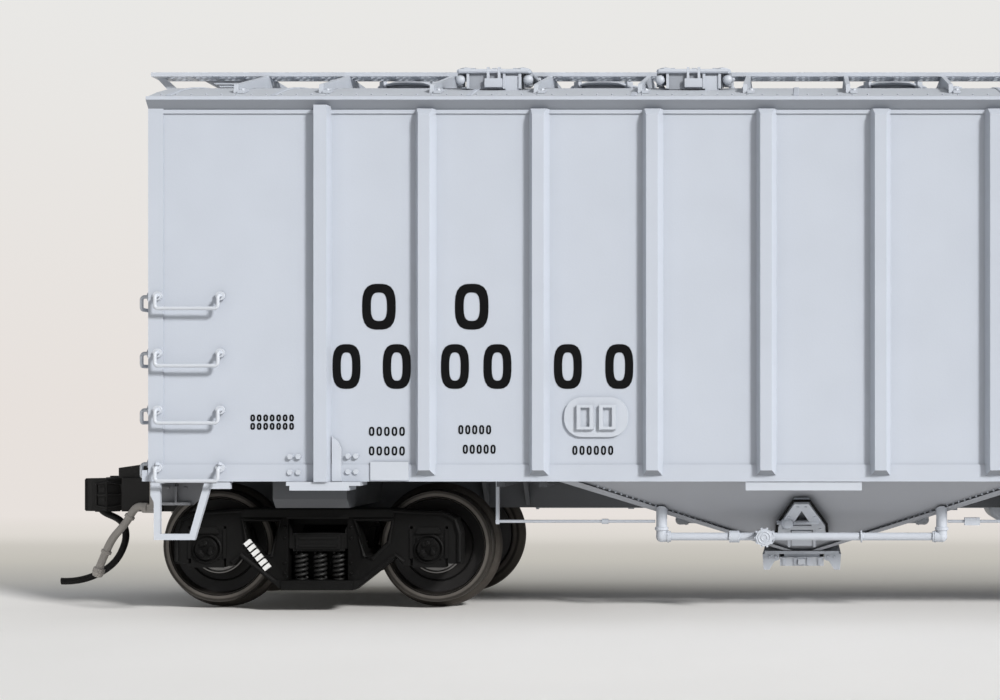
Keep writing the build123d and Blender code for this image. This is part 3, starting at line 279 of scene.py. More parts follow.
def lathe(bm, centre, axis, profile, sides=20):
    """A turned form: profile is (distance along axis, radius) in millimetres, from centre."""
    c = Vector(centre) * M
    ax = Vector(axis).normalized()
    u = ax.orthogonal().normalized(); w = ax.cross(u)
    rings = []
    for h, r in profile:
        rings.append([bm.verts.new(c + ax * h * M + (u * math.cos(k * 2 * math.pi / sides) + w * math.sin(k * 2 * math.pi / sides)) * max(r, 0.005) * M) for k in range(sides)])
    for A, B in zip(rings, rings[1:]):
        for k in range(sides):
            bm.faces.new((A[k], A[(k + 1) % sides], B[(k + 1) % sides], B[k]))
    bm.faces.new(rings[0][::-1]); bm.faces.new(rings[-1])


def prism(bm, pts, thick_dir, t):
    """A plate: polygon points in millimetres, pushed t millimetres along thick_dir."""
    d = Vector(thick_dir).normalized() * t * M
    A = [bm.verts.new(Vector(p) * M) for p in pts]
    B = [bm.verts.new(Vector(p) * M + d) for p in pts]
    n = len(A)
    bm.faces.new(A[::-1]); bm.faces.new(B)
    for i in range(n):
        bm.faces.new((A[i], A[(i + 1) % n], B[(i + 1) % n], B[i]))


def rivet(bm, centre, axis, r=0.16, h=0.1, sides=8):
    lathe(bm, centre, axis, [(-0.02, r), (h * 0.45, r * 0.92), (h * 0.85, r * 0.6), (h, r * 0.2)], sides)


R_ROOF = (18.6 ** 2 + 3.1 ** 2) / 6.2
C_ROOF = 49.7 - R_ROOF


def roof_z(y, lift=0.0):
    return C_ROOF + math.sqrt((R_ROOF + lift) ** 2 - y * y)


BODY, BS = "car_body", "grey_body_paint"
HATCH_X = (-61.3, -42.3, -14.0, 14.0, 42.3, 61.3)
PLATE_X = (0, 9.4, 18.7, 28.0, 37.5, 46.9, 56.3, 66.3, 74.0)
RIBS = (56.5, 46.35, 36.2, 26.05, 15.85, 5.6)


# --- generic block numerals: plain zeros and bars in place of real marks
def ring_glyph(bm, cx, cz, w, h, stroke, y, side, sides=28):
    """An upright zero standing off the side sheet by a paint film's thickness."""
    out, inn = [], []
    for k in range(sides):
        a = 2 * math.pi * k / sides
        ca, sa = math.cos(a), math.sin(a)
        def sup(rx, rz):
            q = (abs(ca) ** 3.0 + abs(sa) ** 3.0) ** (-1 / 3.0)
            return rx * ca * q, rz * sa * q
        x, z = sup(w / 2, h / 2); out.append((x, z))
        x, z = sup(w / 2 - stroke, h / 2 - stroke); inn.append((x, z))
    t = 0.03
    vo = [bm.verts.new(Vector((cx + x, y, cz + z)) * M) for x, z in out]
    vi = [bm.verts.new(Vector((cx + x, y, cz + z)) * M) for x, z in inn]
    wo = [bm.verts.new(Vector((cx + x, y + side * t, cz + z)) * M) for x, z in out]
    wi = [bm.verts.new(Vector((cx + x, y + side * t, cz + z)) * M) for x, z in inn]
    for k in range(sides):
        j = (k + 1) % sides
        bm.faces.new((wo[k], wo[j], wi[j], wi[k]))
        bm.faces.new((vo[j], vo[k], vi[k], vi[j]))
        bm.faces.new((vo[k], vo[j], wo[j], wo[k]))
        bm.faces.new((vi[j], vi[k], wi[k], wi[j]))


for side, nm in ((-1, "near"), (1, "far")):
    bm = bmesh.new()
    y = side * 18.101
    # one design, half-turned to the other side
    f = 1 if side < 0 else -1
    for cx in (-60.7, -52.4):                      # upper row
        ring_glyph(bm, f * cx, 27.9, 3.0, 4.1, 0.78, y, side)
    for cx in (-63.6, -59.1, -53.9, -50.1, -43.8, -39.2):  # lower row
        ring_glyph(bm, f * cx, 22.55, 2.5, 4.0, 0.74, y, side)
    # small data: short strokes of equal blocks
    def blocks(x0, x1, z, h, gap=0.16, bw=0.42):
        x = x0
        while x + bw <= x1 + 1e-6:
            ring_glyph(bm, f * (x + bw / 2), z, bw, h, 0.155, y, side, 12)
            x += bw + gap
    blocks(-72.2, -67.8, 17.95, 0.62); blocks(-72.2, -68.2, 17.2, 0.62)
    blocks(-61.6, -58.1, 16.75, 0.82, 0.18, 0.5); blocks(-61.6, -58.3, 15.0, 0.82, 0.18, 0.5)
    blocks(-53.6, -50.2, 16.9, 0.82, 0.16, 0.46); blocks(-53.2, -50.2, 15.15, 0.82, 0.16, 0.46)
    blocks(-43.4, -39.3, 15.05, 0.82, 0.18, 0.46)
    new_piece("side_marks_" + nm, bm, m_ink, BODY)

# --- rivets and seams
bm = bmesh.new()
for side in (-1, 1):
    # rivets along the roof edge
    x = -80.4
    while x <= 80.5:
        y = side * 17.4
        rivet(bm, (x, y, roof_z(y) - 0.01), (0, y / R_ROOF, 1), 0.11, 0.09, 6)
        x += 1.35
    # rivets up the end posts
for s in (-1, 1):
    for yy in (-5.6, 5.6):
        z = 14.2
        while z < 45:
            rivet(bm, (s * 81.89, yy, z), (s, 0, 0), 0.13, 0.09, 6)
            z += 1.6
    for yy in range(-16, 17, 2):
        rivet(bm, (s * 81.44, yy, 45.9), (s, 0, 0), 0.13, 0.09, 6)
        rivet(bm, (s * 81.89, yy, 12.77), (s, 0, 0), 0.13, 0.09, 6)
new_piece("rivet_rows", bm, m_body, BODY, smooth=True)

# transverse roof seam caps between the bracket plates
bm = bmesh.new()
for x in (-79.6, -70.2, -4.7, 4.7, -23.4, 23.4, -38.0, 38.0, -52.7, 52.7, 70.2, 79.6):
    n = 26
    prof = []
    for w, l in ((-0.26, 0.0), (-0.20, 0.07), (0.20, 0.07), (0.26, 0.0)):
        prof.append((w, l))
    rows = []
    for i in range(n + 1):
        y = -18.0 + 36.0 * i / n
        rows.append([bm.verts.new(Vector((x + w, y, roof_z(y, l + 0.004))) * M) for w, l in prof])
    for a, b in zip(rows, rows[1:]):
        for k in range(3):
            bm.faces.new((a[k], a[k + 1], b[k + 1], b[k]))
        bm.faces.new((a[3], a[0], b[0], b[3]))
    bm.faces.new(rows[0]); bm.faces.new(rows[-1][::-1])
new_piece("roof_seams", bm, m_body, BODY)

# base bolts and small feet of the bracket plates
bm = bmesh.new()
for x in sorted({s * v for v in PLATE_X for s in (-1, 1)}):
    for side in (-1, 1):
        y = side * 16.15
        z = roof_z(y)
        prism(bm, [(x + 0.2, side * 15.3, roof_z(15.3) + 0.02), (x + 0.85, side * 15.3, roof_z(15.3) + 0.02),
                   (x + 0.85, side * 16.7, roof_z(16.7) + 0.02), (x + 0.2, side * 16.7, roof_z(16.7) + 0.02)], (0, 0, 1), 0.22)
        rivet(bm, (x + 0.55, y, z + 0.2), (0, 0, 1), 0.2, 0.2, 8)
        rivet(bm, (x - 0.2, side * 15.6, 47.85), (-1, 0, 0), 0.16, 0.14, 6)
new_piece("bracket_feet", bm, m_detail, BODY)

# running board edge strips, cross bars and tie screws
bm = bmesh.new()
for side in (-1, 1):
    for y in (3.75, 6.45):
        prism(bm, [(-85.1, side * y - 0.05, 50.84), (85.1, side * y - 0.05, 50.84), (85.1, side * y + 0.05, 50.84), (-85.1, side * y + 0.05, 50.84)], (0, 0, 1), 0.08)
    prism(bm, [(-85.1, side * 5.1 - 0.05, 50.84), (85.1, side * 5.1 - 0.05, 50.84), (85.1, side * 5.1 + 0.05, 50.84), (-85.1, side * 5.1 + 0.05, 50.84)], (0, 0, 1), 0.05)
    x = -84.6
    while x < 84.8:
        prism(bm, [(x - 0.05, side * 3.8, 50.70), (x + 0.05, side * 3.8, 50.70), (x + 0.05, side * 6.4, 50.70), (x - 0.05, side * 6.4, 50.70)], (0, 0, 1), 0.17)
        x += 0.6
    for xx in sorted({s * v for v in PLATE_X for s in (-1, 1)}):
        for y in (4.1, 6.1):
            rivet(bm, (xx, side * y, 50.84), (0, 0, 1), 0.17, 0.12, 6)
new_piece("board_grating", bm, m_detail, BODY)

# hatch fittings: rim roll, hold-down bars and hinge lugs
bm = bmesh.new()
for x in HATCH_X:
    pts = [(x + 3.4 * math.cos(a), 3.4 * math.sin(a), 50.36) for a in [2 * math.pi * k / 40 for k in range(40)]]
    tube(bm, pts, 0.14, 6, closed=True)
    for a in (math.pi / 4, 3 * math.pi / 4, 5 * math.pi / 4, 7 * math.pi / 4):
        c, s = math.cos(a), math.sin(a)
        u = Vector((c, s, 0)); v = Vector((-s, c, 0))
        p = [Vector((x, 0, 50.98)) + u * r + v * t for r, t in ((0.4, -0.16), (2.1, -0.16), (2.1, 0.16), (0.4, 0.16))]
        prism(bm, [tuple(q) for q in p], (0, 0, 1), 0.14)
        q = [(x + c * 3.3 + v.x * t, s * 3.3 + v.y * t, z) for t, z in ((-0.35, 49.9), (0.35, 49.9), (0.35, 50.7), (-0.35, 50.7))]
        prism(bm, q, (c, s, 0), 0.42)
        rivet(bm, (x + c * 3.5, s * 3.5, 50.68), (0, 0, 1), 0.2, 0.28, 6)
    lathe(bm, (x, 0, 51.0), (0, 0, 1), [(0, 0.62), (0.12, 0.62), (0.16, 0.42), (0.3, 0.40), (0.38, 0.5), (0.5, 0.48), (0.56, 0.3)], 12)
new_piece("hatch_fittings", bm, m_detail, BODY)

# vent box fittings: side cylinders, lid ribs and corner lugs
bm = bmesh.new()
for x0 in (51.1, 32.8, -51.1, -32.8):
    for side in (-1, 1):
        yc = side * 10.7
        for dx in (-1.9, 0.0, 1.9):
            prism(bm, [(x0 + dx - 0.18, yc - 3.1, 49.9), (x0 + dx + 0.18, yc - 3.1, 49.9), (x0 + dx + 0.18, yc + 3.1, 49.9), (x0 + dx - 0.18, yc + 3.1, 49.9)], (0, 0, 1), 0.13)
        for dx in (-3.3, 3.3):
            lathe(bm, (x0 + dx, side * 8.6, 48.9), (0, 0, 1), [(0, 0.3), (0.25, 0.3), (0.3, 0.18), (0.8, 0.18), (0.85, 0.3), (1.1, 0.3)], 10)
        # face ribs on the outboard wall of the box
        f = -side
        for dx in (-2.38, 0.95, 2.38):
            prism(bm, [(x0 + f * dx - 0.12, side * 13.8, roof_z(13.8) + 0.1), (x0 + f * dx + 0.12, side * 13.8, roof_z(13.8) + 0.1),
                       (x0 + f * dx + 0.12, side * 13.8, 49.5), (x0 + f * dx - 0.12, side * 13.8, 49.5)], (0, side, 0), 0.2)
        prism(bm, [(x0 + f * 1.05, side * 13.8, 47.95), (x0 + f * 2.3, side * 13.8, 47.95), (x0 + f * 2.3, side * 13.8, 49.3), (x0 + f * 1.05, side * 13.8, 49.3)], (0, side, 0), 0.07)
        # latch plate with its two ears
        prism(bm, [(x0 + f * -0.8, side * 13.8, 48.2), (x0 + f * 0.8, side * 13.8, 48.2), (x0 + f * 0.8, side * 13.8, 49.0), (x0 + f * -0.8, side * 13.8, 49.0)], (0, side, 0), 0.5)
        for dx in (-0.5, 0.5):
            prism(bm, [(x0 + dx - 0.12, side * 13.9, 48.9), (x0 + dx + 0.12, side * 13.9, 48.9), (x0 + dx + 0.12, side * 13.9, 50.05), (x0 + dx - 0.12, side * 13.9, 50.05)], (0, side, 0), 0.3)
        # rolled rim round the lid and lumps at its corners
        for y0 in (7.38, 14.02):
            tube(bm, [(x0 - 3.2, side * y0, 49.7), (x0 + 3.2, side * y0, 49.7)], 0.2, 8)
        for dx in (-3.22, 3.22):
            tube(bm, [(x0 + dx, side * 7.4, 49.7), (x0 + dx, side * 14.0, 49.7)], 0.2, 8)
        for dx in (-2.6, 2.6):
            for yy in (8.0, 13.4):
                lathe(bm, (x0 + dx, side * yy, 49.88), (0, 0, 1), [(0, 0.62), (0.12, 0.6), (0.2, 0.35), (0.26, 0.12)], 10)
        # round knobs at the outboard corners
        for dx in (-3.1, 3.1):
            lathe(bm, (x0 + dx, side * 13.35, 48.95), (0, side, 0), [(0, 0.42), (0.2, 0.46), (0.45, 0.44), (0.6, 0.3), (0.68, 0.12)], 12)
        lathe(bm, (x0, yc, 50.2), (0, 0, 1), [(0, 0.9), (0.12, 0.85), (0.22, 0.6), (0.3, 0.3)], 14)
new_piece("vent_fittings", bm, m_detail, BODY)

# small pressure relief stubs between the boards
bm = bmesh.new()
for x in (-9.2 + 1.4, 9.2 - 1.4, -69.0, 69.0):
    lathe(bm, (x, 0, 49.6), (0, 0, 1), [(0, 0.9), (0.25, 0.9), (0.3, 0.6), (0.7, 0.6), (0.75, 0.75), (0.95, 0.75), (1.05, 0.4)], 16)
new_piece("relief_stubs", bm, m_detail, BODY, smooth=False)

# --- underbody fittings on the body
def slope(cx, sy, u, v, h):
    """A point on a bay's side slope: u along the car, v down the slope (negative), h out of it."""
    return (cx + u, sy * (17.16 + 0.8366 * v + 0.5478 * h), 12.25 + 0.5478 * v - 0.8366 * h)


# painted shadow: near-black tubes round each gate operator frame and its window stand for the shadow the frame casts on
# the sheet
bm = bmesh.new()
for cx in (-22.9, 22.9):
    for sy in (-1, 1):
        tube(bm, [slope(cx, sy, u, v, 0.42) for u, v in ((-2.43, -9.5), (-2.3, -7.0), (-0.74, -2.74), (0.74, -2.74), (2.3, -7.0), (2.43, -9.5))], 0.13, 6)
        tube(bm, [slope(cx, sy, u, v, 0.5) for u, v in ((-0.9, -6.85), (0.0, -4.2), (0.9, -6.85))], 0.07, 6, closed=True)
new_piece("operator_painted_shadow_lines", bm, m_truck, BODY)

bm = bmesh.new()
for sx in (-1, 1):
    cx = sx * 22.9
    for sy in (-1, 1):
        # bolts along the sloping flanges of each bay
        for ex in (-1, 1):
            n = 34
            for i in range(1, n):
                t = i / n
                z = 12.0 + (5.5 - 12.0) * t
                hx = 21.9 + (1.6 - 21.9) * (12.25 - z) / 7.05
                hy = 16.8 + (6.0 - 16.8) * (12.25 - z) / 7.05
                x = cx + ex * (hx - 1.75 * (1 - t) - 0.5)
                y = sy * (hy + 0.0)
                rivet(bm, (x, y, z), (0, sy * 0.55, -0.84), 0.12, 0.16, 6)
        # knob and bar of the gate operator
        yb = sy * 12.15
        tube(bm, [(cx - 2.3, yb, 8.25), (cx + 1.6, yb, 8.25)], 0.22, 10)
        lathe(bm, (cx - 1.35, sy * 12.0, 8.2), (0, sy, 0), [(0, 0.3), (0.3, 0.3), (0.35, 0.55), (0.6, 0.6), (0.85, 0.5), (0.95, 0.25)], 12)
        # guides and cover plate running down to the gate
        for u in (-1.2, 1.2):
            tube(bm, [slope(cx, sy, u, -7.7, 0.5), slope(cx, sy, u, -9.6, 0.5), slope(cx, sy, u, -11.3, 0.35)], 0.17, 6)
        prism(bm, [slope(cx, sy, -0.95, -8.4, 0.1), slope(cx, sy, 0.95, -8.4, 0.1), slope(cx, sy, 0.95, -11.2, 0.1), slope(cx, sy, -0.95, -11.2, 0.1)], (0, sy * 0.5478, -0.8366), 0.3)
        for u, v in ((-1.7, -7.4), (1.7, -7.4), (-0.35, -3.4), (0.35, -3.4), (-1.15, -5.2), (1.15, -5.2)):
            rivet(bm, slope(cx, sy, u, v, 0.69), (0, sy * 0.5478, -0.8366), 0.14, 0.12, 6)
        # turned face of each hose cap
        for r in (0.55, 0.28):
            tube(bm, [(cx - 3.4 + r * math.cos(a), sy * 14.58, 7.0 + r * math.sin(a)) for a in [2 * math.pi * j / 18 for j in range(18)]], 0.08, 6, closed=True)
        # ring of ribs round each hose cap and the collar bands of the pipe
        for k in range(10):
            a = 2 * math.pi * k / 10
            c, s = math.cos(a), math.sin(a)
            xx = cx - 3.4
            prism(bm, [(xx + c * 0.70 - s * 0.1, sy * 13.95, 7.0 + s * 0.70 + c * 0.1), (xx + c * 0.92 - s * 0.08, sy * 13.95, 7.0 + s * 0.92 + c * 0.08),
                       (xx + c * 0.92 + s * 0.08, sy * 13.95, 7.0 + s * 0.92 - c * 0.08), (xx + c * 0.70 + s * 0.1, sy * 13.95, 7.0 + s * 0.70 - c * 0.1)], (0, sy, 0), 0.6)
        for dx in (-12.3, -6.6, -5.8, -4.2, -2.6, 5.5, 12.3):
            lathe(bm, (cx + dx - 0.09, sy * 13.0, 7.0), (1, 0, 0), [(0, 0.4), (0.03, 0.56), (0.15, 0.56), (0.18, 0.4)], 16)
        for dx in (-12.9, 12.9):
            lathe(bm, (cx + dx, sy * 13.0, 7.55), (0, 0, 1), [(0, 0.5), (0.05, 0.62), (0.3, 0.62), (0.35, 0.5)], 16)
    # ribs and pull lugs on the outlet blocks
    for dx in (-1.7, -0.6, 0.6, 1.7):
        for sy in (-1, 1):
            prism(bm, [(cx + dx - 0.14, sy * 6.5, 3.85), (cx + dx + 0.14, sy * 6.5, 3.85), (cx + dx + 0.14, sy * 6.5, 4.55), (cx + dx - 0.14, sy * 6.5, 4.55)], (0, sy, 0), 0.16)
    for dx in (-3.1, -2.5, 2.5, 3.1):
        for sy in (-1, 1):
            rivet(bm, (cx + dx, sy * 6.6, 4.65), (0, sy, 0), 0.16, 0.16, 6)
new_piece("bay_fittings", bm, m_detail, BODY)

# underframe cross bearers, train line pipe and brake rodding
bm = bmesh.new()
tube(bm, [(-80, 2.9, 10.9), (-60, 2.9, 10.9), (-46, 2.9, 10.9)], 0.28, 8)
tube(bm, [(80, -2.9, 10.9), (60, -2.9, 10.9), (46, -2.9, 10.9)], 0.28, 8)
for s in (-1, 1):
    for x in (50.0, 46.2):
        prism(bm, [(s * x - 0.35, -17.0, 11.75), (s * x + 0.35, -17.0, 11.75), (s * x + 0.35, 17.0, 11.75), (s * x - 0.35, 17.0, 11.75)], (0, 0, 1), 0.5)
    for x in (49.5, 53.5):
        for sy in (-1, 1):
            prism(bm, [(s * x, sy * 2.0, 9.3), (s * x, sy * 4.6, 12.2), (s * x, sy * 2.0, 12.2)], (s, 0, 0), 0.4)
tube(bm, [(2.4, -11.2, 9.1), (2.4, -11.3, 8.4), (6.0, -11.2, 8.3)], 0.16, 8)
new_piece("underframe_rodding", bm, m_under_shaded, BODY)

# web plates behind the stirrups at the four corners, in a dark grey of painted shade
bm = bmesh.new()
for sx in (-1, 1):
    for sy in (-1, 1):
        c = lambda x, z, y=15.0: (sx * x, sy * y, z)
        prism(bm, [c(81.2, 12.3), c(77.2, 12.3), c(77.2, 11.0), c(78.4, 10.0), c(81.2, 10.0)], (0, -sy, 0), 0.5)
        prism(bm, [c(81.2, 10.0), c(78.4, 10.0), c(78.4, 10.25), c(81.2, 10.25)], (0, sy, 0), 0.5)
        prism(bm, [c(79.7, 10.2), c(79.9, 10.2), c(79.9, 12.3), c(79.7, 12.3)], (0, sy, 0), 0.35)
        for x in (80.6, 79.0):
            rivet(bm, c(x, 11.6), (0, sy, 0), 0.16, 0.12, 6)
new_piece("corner_webs", bm, m_web_shaded, BODY)

# uncoupling levers: bent wire hung from the ends
bm = bmesh.new()
for s in (-1, 1):
    f = lambda x, y, z: (s * x, s * y, z)
    tube(bm, [f(82.2, -15.4, 13.3), f(82.3, -15.4, 11.4), f(82.3, -15.0, 11.1), f(82.3, -9.0, 11.1), f(82.6, -5.4, 11.2), f(83.6, -4.2, 11.6), f(86.2, -3.6, 12.4), f(88.6, -3.1, 12.6)], 0.17, 8)
    for y in (-13.0, -7.0):
        prism(bm, [f(81.35, y - 0.25, 11.2), f(82.2, y - 0.25, 11.2), f(82.2, y - 0.25, 12.3), f(81.35, y - 0.25, 12.8)], (0, s, 0), 0.5)
new_piece("uncoupling_levers", bm, m_wire_and_lit_outlets, BODY)

# hose bands, gladhands and angle cocks
bm = bmesh.new()
for s in (-1, 1):
    f = lambda x, y, z: (s * x, s * y, z)
    def seg(a, b, prof):
        a, b = Vector(f(*a)), Vector(f(*b))
        lathe(bm, tuple(a), tuple(b - a), prof, 12)
    seg((88.2, 3.25, 8.4), (88.6, 3.25, 7.8), [(0, 0.42), (0.04, 0.5), (0.3, 0.5), (0.34, 0.42)])
    seg((90.5, 3.25, 5.0), (90.8, 3.25, 4.3), [(0, 0.42), (0.04, 0.5), (0.3, 0.5), (0.34, 0.42)])
    seg((91.2, 3.25, 3.35), (91.5, 3.25, 2.4), [(0, 0.42), (0.1, 0.55), (0.5, 0.58), (0.9, 0.45), (1.0, 0.2)])
    seg((85.2, 3.25, 9.05), (87.2, 3.25, 9.15), [(0, 0.3), (0.1, 0.5), (0.5, 0.5), (0.6, 0.38), (1.3, 0.38), (1.4, 0.5), (1.8, 0.5), (1.9, 0.35)])
new_piece("hose_fittings", bm, m_hose, BODY, smooth=False)

# grab iron bolt nuts, corner gusset bolts
bm = bmesh.new()
for s in (-1, 1):
    for z in (27.7, 22.6, 17.5, 12.65):
        for x in (-80.4, -74.8):
            rivet(bm, (-s * x, s * 18.55, z + 1.15), (0, s, 0), 0.26, 0.22, 6)
new_piece("side_bolts", bm, m_body, BODY)

# ------------------------------------------------------------ truck details
for t, s in (("a", -1), ("b", 1)):
    X = s * 67.4
    tb = "truck_" + t
    # helical springs stand in place of the plain cylinders
    bm = bmesh.new()
    for side in (-1, 1):
        for dx in (-1.75, 0, 1.75):
            pts = []
            turns, n = 5.5, 96
            for i in range(n + 1):
                a = 2 * math.pi * turns * i / n
                pts.append((X + dx + 0.48 * math.cos(a), side * 12.4 + 0.48 * math.sin(a), 3.14 + 2.36 * i / n))
            tube(bm, pts, 0.165, 6)
            lathe(bm, (X + dx, side * 12.4, 3.0), (0, 0, 1), [(0, 0.2), (0.6, 0.2), (2.0, 0.2), (2.65, 0.2)], 10)
            lathe(bm, (X + dx, side * 12.4, 3.0), (0, 0, 1), [(0, 0.55), (0.1, 0.55), (0.14, 0.4)], 14)
    p = new_piece("coil_springs_" + t, bm, m_spring, tb, smooth=True)
    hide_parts("truck_" + t + "_springs")
    # cast relief on both frames: window rims, chord flange, bolster end, journal boxes
    bm = bmesh.new()
    for side in (-1, 1):
        yo = side * 13.2
        def P(dx, z, y=yo): return (X + dx, y, z)
        def rim(points, w=0.22, h=0.28):
            pts = [P(a, b, side * (13.2 + h * 0.45)) for a, b in points]
            tube(bm, pts, w, 6, closed=True)
        for f in (-1, 1):
            rim([(f * 3.4, 8.55), (f * 6.9, 8.55), (f * 6.55, 6.5), (f * 5.05, 5.0), (f * 4.25, 5.2)], 0.17)
            # lower tension member flange
            tube(bm, [P(f * 3.2, 2.3, side * 13.3), P(f * 4.7, 3.45, side * 13.3), P(f * 7.1, 5.35, side * 13.3), P(f * 7.9, 4.7, side * 13.3)], 0.2, 6)
            # upper chord flange down over the pedestal
            tube(bm, [P(f * 6.8, 9.4, side * 13.3), P(f * 9.0, 9.25, side * 13.3), P(f * 11.5, 9.15, side * 13.3), P(f * 12.6, 8.55, side * 13.3), P(f * 13.0, 7.3, side * 13.3), P(f * 13.0, 4.7, side * 13.3)], 0.2, 6)
            # adapter key, wear plates and retaining bolts
            for ex in (-1, 1):
                c = f * 10.205 + ex * 1.62
                prism(bm, [P(c - 0.13, 5.0, side * 11.75), P(c + 0.13, 5.0, side * 11.75), P(c + 0.13, 7.7, side * 11.75), P(c - 0.13, 7.7, side * 11.75)], (0, side, 0), 1.6)
            prism(bm, [P(f * 10.205 - 1.2, 7.3), P(f * 10.205 + 1.2, 7.3), P(f * 10.205 + 0.9, 7.85), P(f * 10.205 - 0.9, 7.85)], (0, side, 0), 0.3)
            # bearing cup: a stepped ring round the end cap
            ring = []
            for k in range(28):
                a = 2 * math.pi * k / 28
                ring.append((X + f * 10.205 + 1.25 * math.cos(a), side * 13.25, 5.885 + 1.25 * math.sin(a)))
            tube(bm, ring, 0.14, 6, closed=True)
            for k in (0.6, 2.54, 3.75, 5.67):
                rivet(bm, (X + f * 10.205 + 1.62 * math.cos(k) * 0.82, side * 13.2, 5.885 + 1.62 * math.sin(k) * 0.95), (0, side, 0), 0.16, 0.16, 6)
            # brake hanger lug on the chord and column bolts
            for zz in (7.9, 6.9, 4.6, 3.6):
                rivet(bm, P(f * 3.05, zz, yo), (0, side, 0), 0.17, 0.16, 6)
            prism(bm, [P(f * 2.2, 2.1), P(f * 3.3, 2.1), P(f * 4.3, 3.0), P(f * 2.2, 3.0)], (0, side, 0), 0.35)
        # window rim and the bolster end plate
        tube(bm, [P(-2.85, 8.8, side * 13.3), P(2.85, 8.8, side * 13.3)], 0.17, 6)
        prism(bm, [(X - 2.05, side * 12.95, 5.85), (X + 2.05, side * 12.95, 5.85), (X + 2.05, side * 12.95, 7.15), (X - 2.05, side * 12.95, 7.15)], (0, side, 0), 0.22)
        prism(bm, [(X - 1.75, side * 13.17, 6.05), (X + 1.75, side * 13.17, 6.05), (X + 1.75, side * 13.17, 6.3), (X - 1.75, side * 13.17, 6.3)], (0, side, 0), 0.12)
        prism(bm, [(X - 1.75, side * 13.17, 6.75), (X + 1.75, side * 13.17, 6.75), (X + 1.75, side * 13.17, 7.0), (X - 1.75, side * 13.17, 7.0)], (0, side, 0), 0.12)
        # friction shoe pockets beside the bolster
        for f in (-1, 1):
            prism(bm, [(X + f * 2.35, side * 12.2, 5.9), (X + f * 2.72, side * 12.2, 5.9), (X + f * 2.72, side * 12.2, 8.2), (X + f * 2.45, side * 12.2, 7.6)], (0, side, 0), 0.8)
    # spring plank and inner column walls that close the window from behind
    for side in (-1, 1):
        prism(bm, [(X - 2.9, side * 10.9, 2.15), (X + 2.9, side * 10.9, 2.15), (X + 2.9, side * 10.9, 5.8), (X - 2.9, side * 10.9, 5.8)], (0, side, 0), 0.3)
        prism(bm, [(X - 3.3, side * 10.4, 8.0), (X + 3.3, side * 10.4, 8.0), (X + 3.3, side * 10.4, 9.3), (X - 3.3, side * 10.4, 9.3)], (0, side, 0), 0.9)
    for side in (-1, 1):
        for dx in (-1.75, 0, 1.75):
            prism(bm, [(X + dx - 0.12, side * 11.2, 2.5), (X + dx + 0.12, side * 11.2, 2.5), (X + dx + 0.12, side * 11.2, 5.6), (X + dx - 0.12, side * 11.2, 5.6)], (0, side, 0), 0.18)
    prism(bm, [(X - 2.0, -10.9, 2.4), (X + 2.0, -10.9, 2.4), (X + 2.0, 10.9, 2.4), (X - 2.0, 10.9, 2.4)], (0, 0, 1), 0.35)
    prism(bm, [(X - 0.2, -10.9, 2.6), (X + 0.2, -10.9, 2.6), (X + 0.2, 10.9, 2.6), (X - 0.2, 10.9, 2.6)], (0, 0, 1), 2.3)
    new_piece("frame_castings_" + t, bm, m_truck, tb)
    # plain white stencil bar, tilted, on the frame near the outer axle
    bm = bmesh.new()
    for side in (s,):
        f = s if side < 0 else -s
        c = Vector((X + (-1 if side < 0 else 1) * 5.6, side * 13.2, 5.4))
        d = Vector((math.cos(math.radians(-52)) * (1 if side < 0 else -1), 0, math.sin(math.radians(-52))))
        n = Vector((-d.z, 0, d.x))
        for k in range(6):
            q = c + d * (-1.5 + k * 0.56)
            a = [q + d * u + n * v for u, v in ((0, -0.34), (0.40, -0.34), (0.40, 0.34), (0, 0.34))]
            prism(bm, [tuple(w) for w in a], (0, side, 0), 0.30)
    new_piece("frame_stencil_" + t, bm, m_white, tb)
    # brake shoes, hangers and the truck lever
    bm = bmesh.new()
    for f in (-1, 1):
        for side in (-1, 1):
            prism(bm, [(X + f * 3.7, side * 8.0, 5.1), (X + f * 4.25, side * 8.0, 5.1), (X + f * 4.25, side * 8.0, 6.6), (X + f * 3.7, side * 8.0, 6.6)], (0, side, 0), 1.2)
            tube(bm, [(X + f * 3.8, side * 10.2, 5.6), (X + f * 3.4, side * 10.4, 7.0), (X + f * 3.0, side * 10.6, 8.4)], 0.2, 6)
    tube(bm, [(X - 3.9, 1.2, 5.8), (X - 3.2, 1.2, 7.4), (X - 2.9, 1.2, 8.3)], 0.2, 6)
    tube(bm, [(X + 3.9, -1.2, 5.8), (X + 3.2, -1.2, 7.4), (X + 2.9, -1.2, 8.3)], 0.2, 6)
    tube(bm, [(X - 3.9, 1.2, 5.2), (X + 3.9, -1.2, 5.2)], 0.18, 6)
    new_piece("brake_hangers_" + t, bm, m_truck, tb)
    # wheel details: plate ribs, hub step and axle collars
    for place, k in (("outer", 1), ("inner", -1)):
        cx = s * (67.4 + k * 10.205)
        bm = bmesh.new()
        for side in (-1, 1):
            ring = [(cx + 3.3 * math.cos(a), side * 8.78, 5.885 + 3.3 * math.sin(a)) for a in [2 * math.pi * j / 36 for j in range(36)]]
            tube(bm, ring, 0.09, 6, closed=True)
            ring = [(cx + 4.62 * math.cos(a), side * 9.82, 5.885 + 4.62 * math.sin(a)) for a in [2 * math.pi * j / 48 for j in range(48)]]
            tube(bm, ring, 0.05, 6, closed=True)
            lathe(bm, (cx, side * 9.5, 5.885), (0, side, 0), [(0, 1.5), (0.15, 1.5), (0.2, 1.2), (0.45, 1.15), (0.5, 0.9)], 28)
            lathe(bm, (cx, side * 6.2, 5.885), (0, side, 0), [(0, 1.0), (0.1, 1.15), (0.7, 1.15), (0.9, 1.3)], 24)
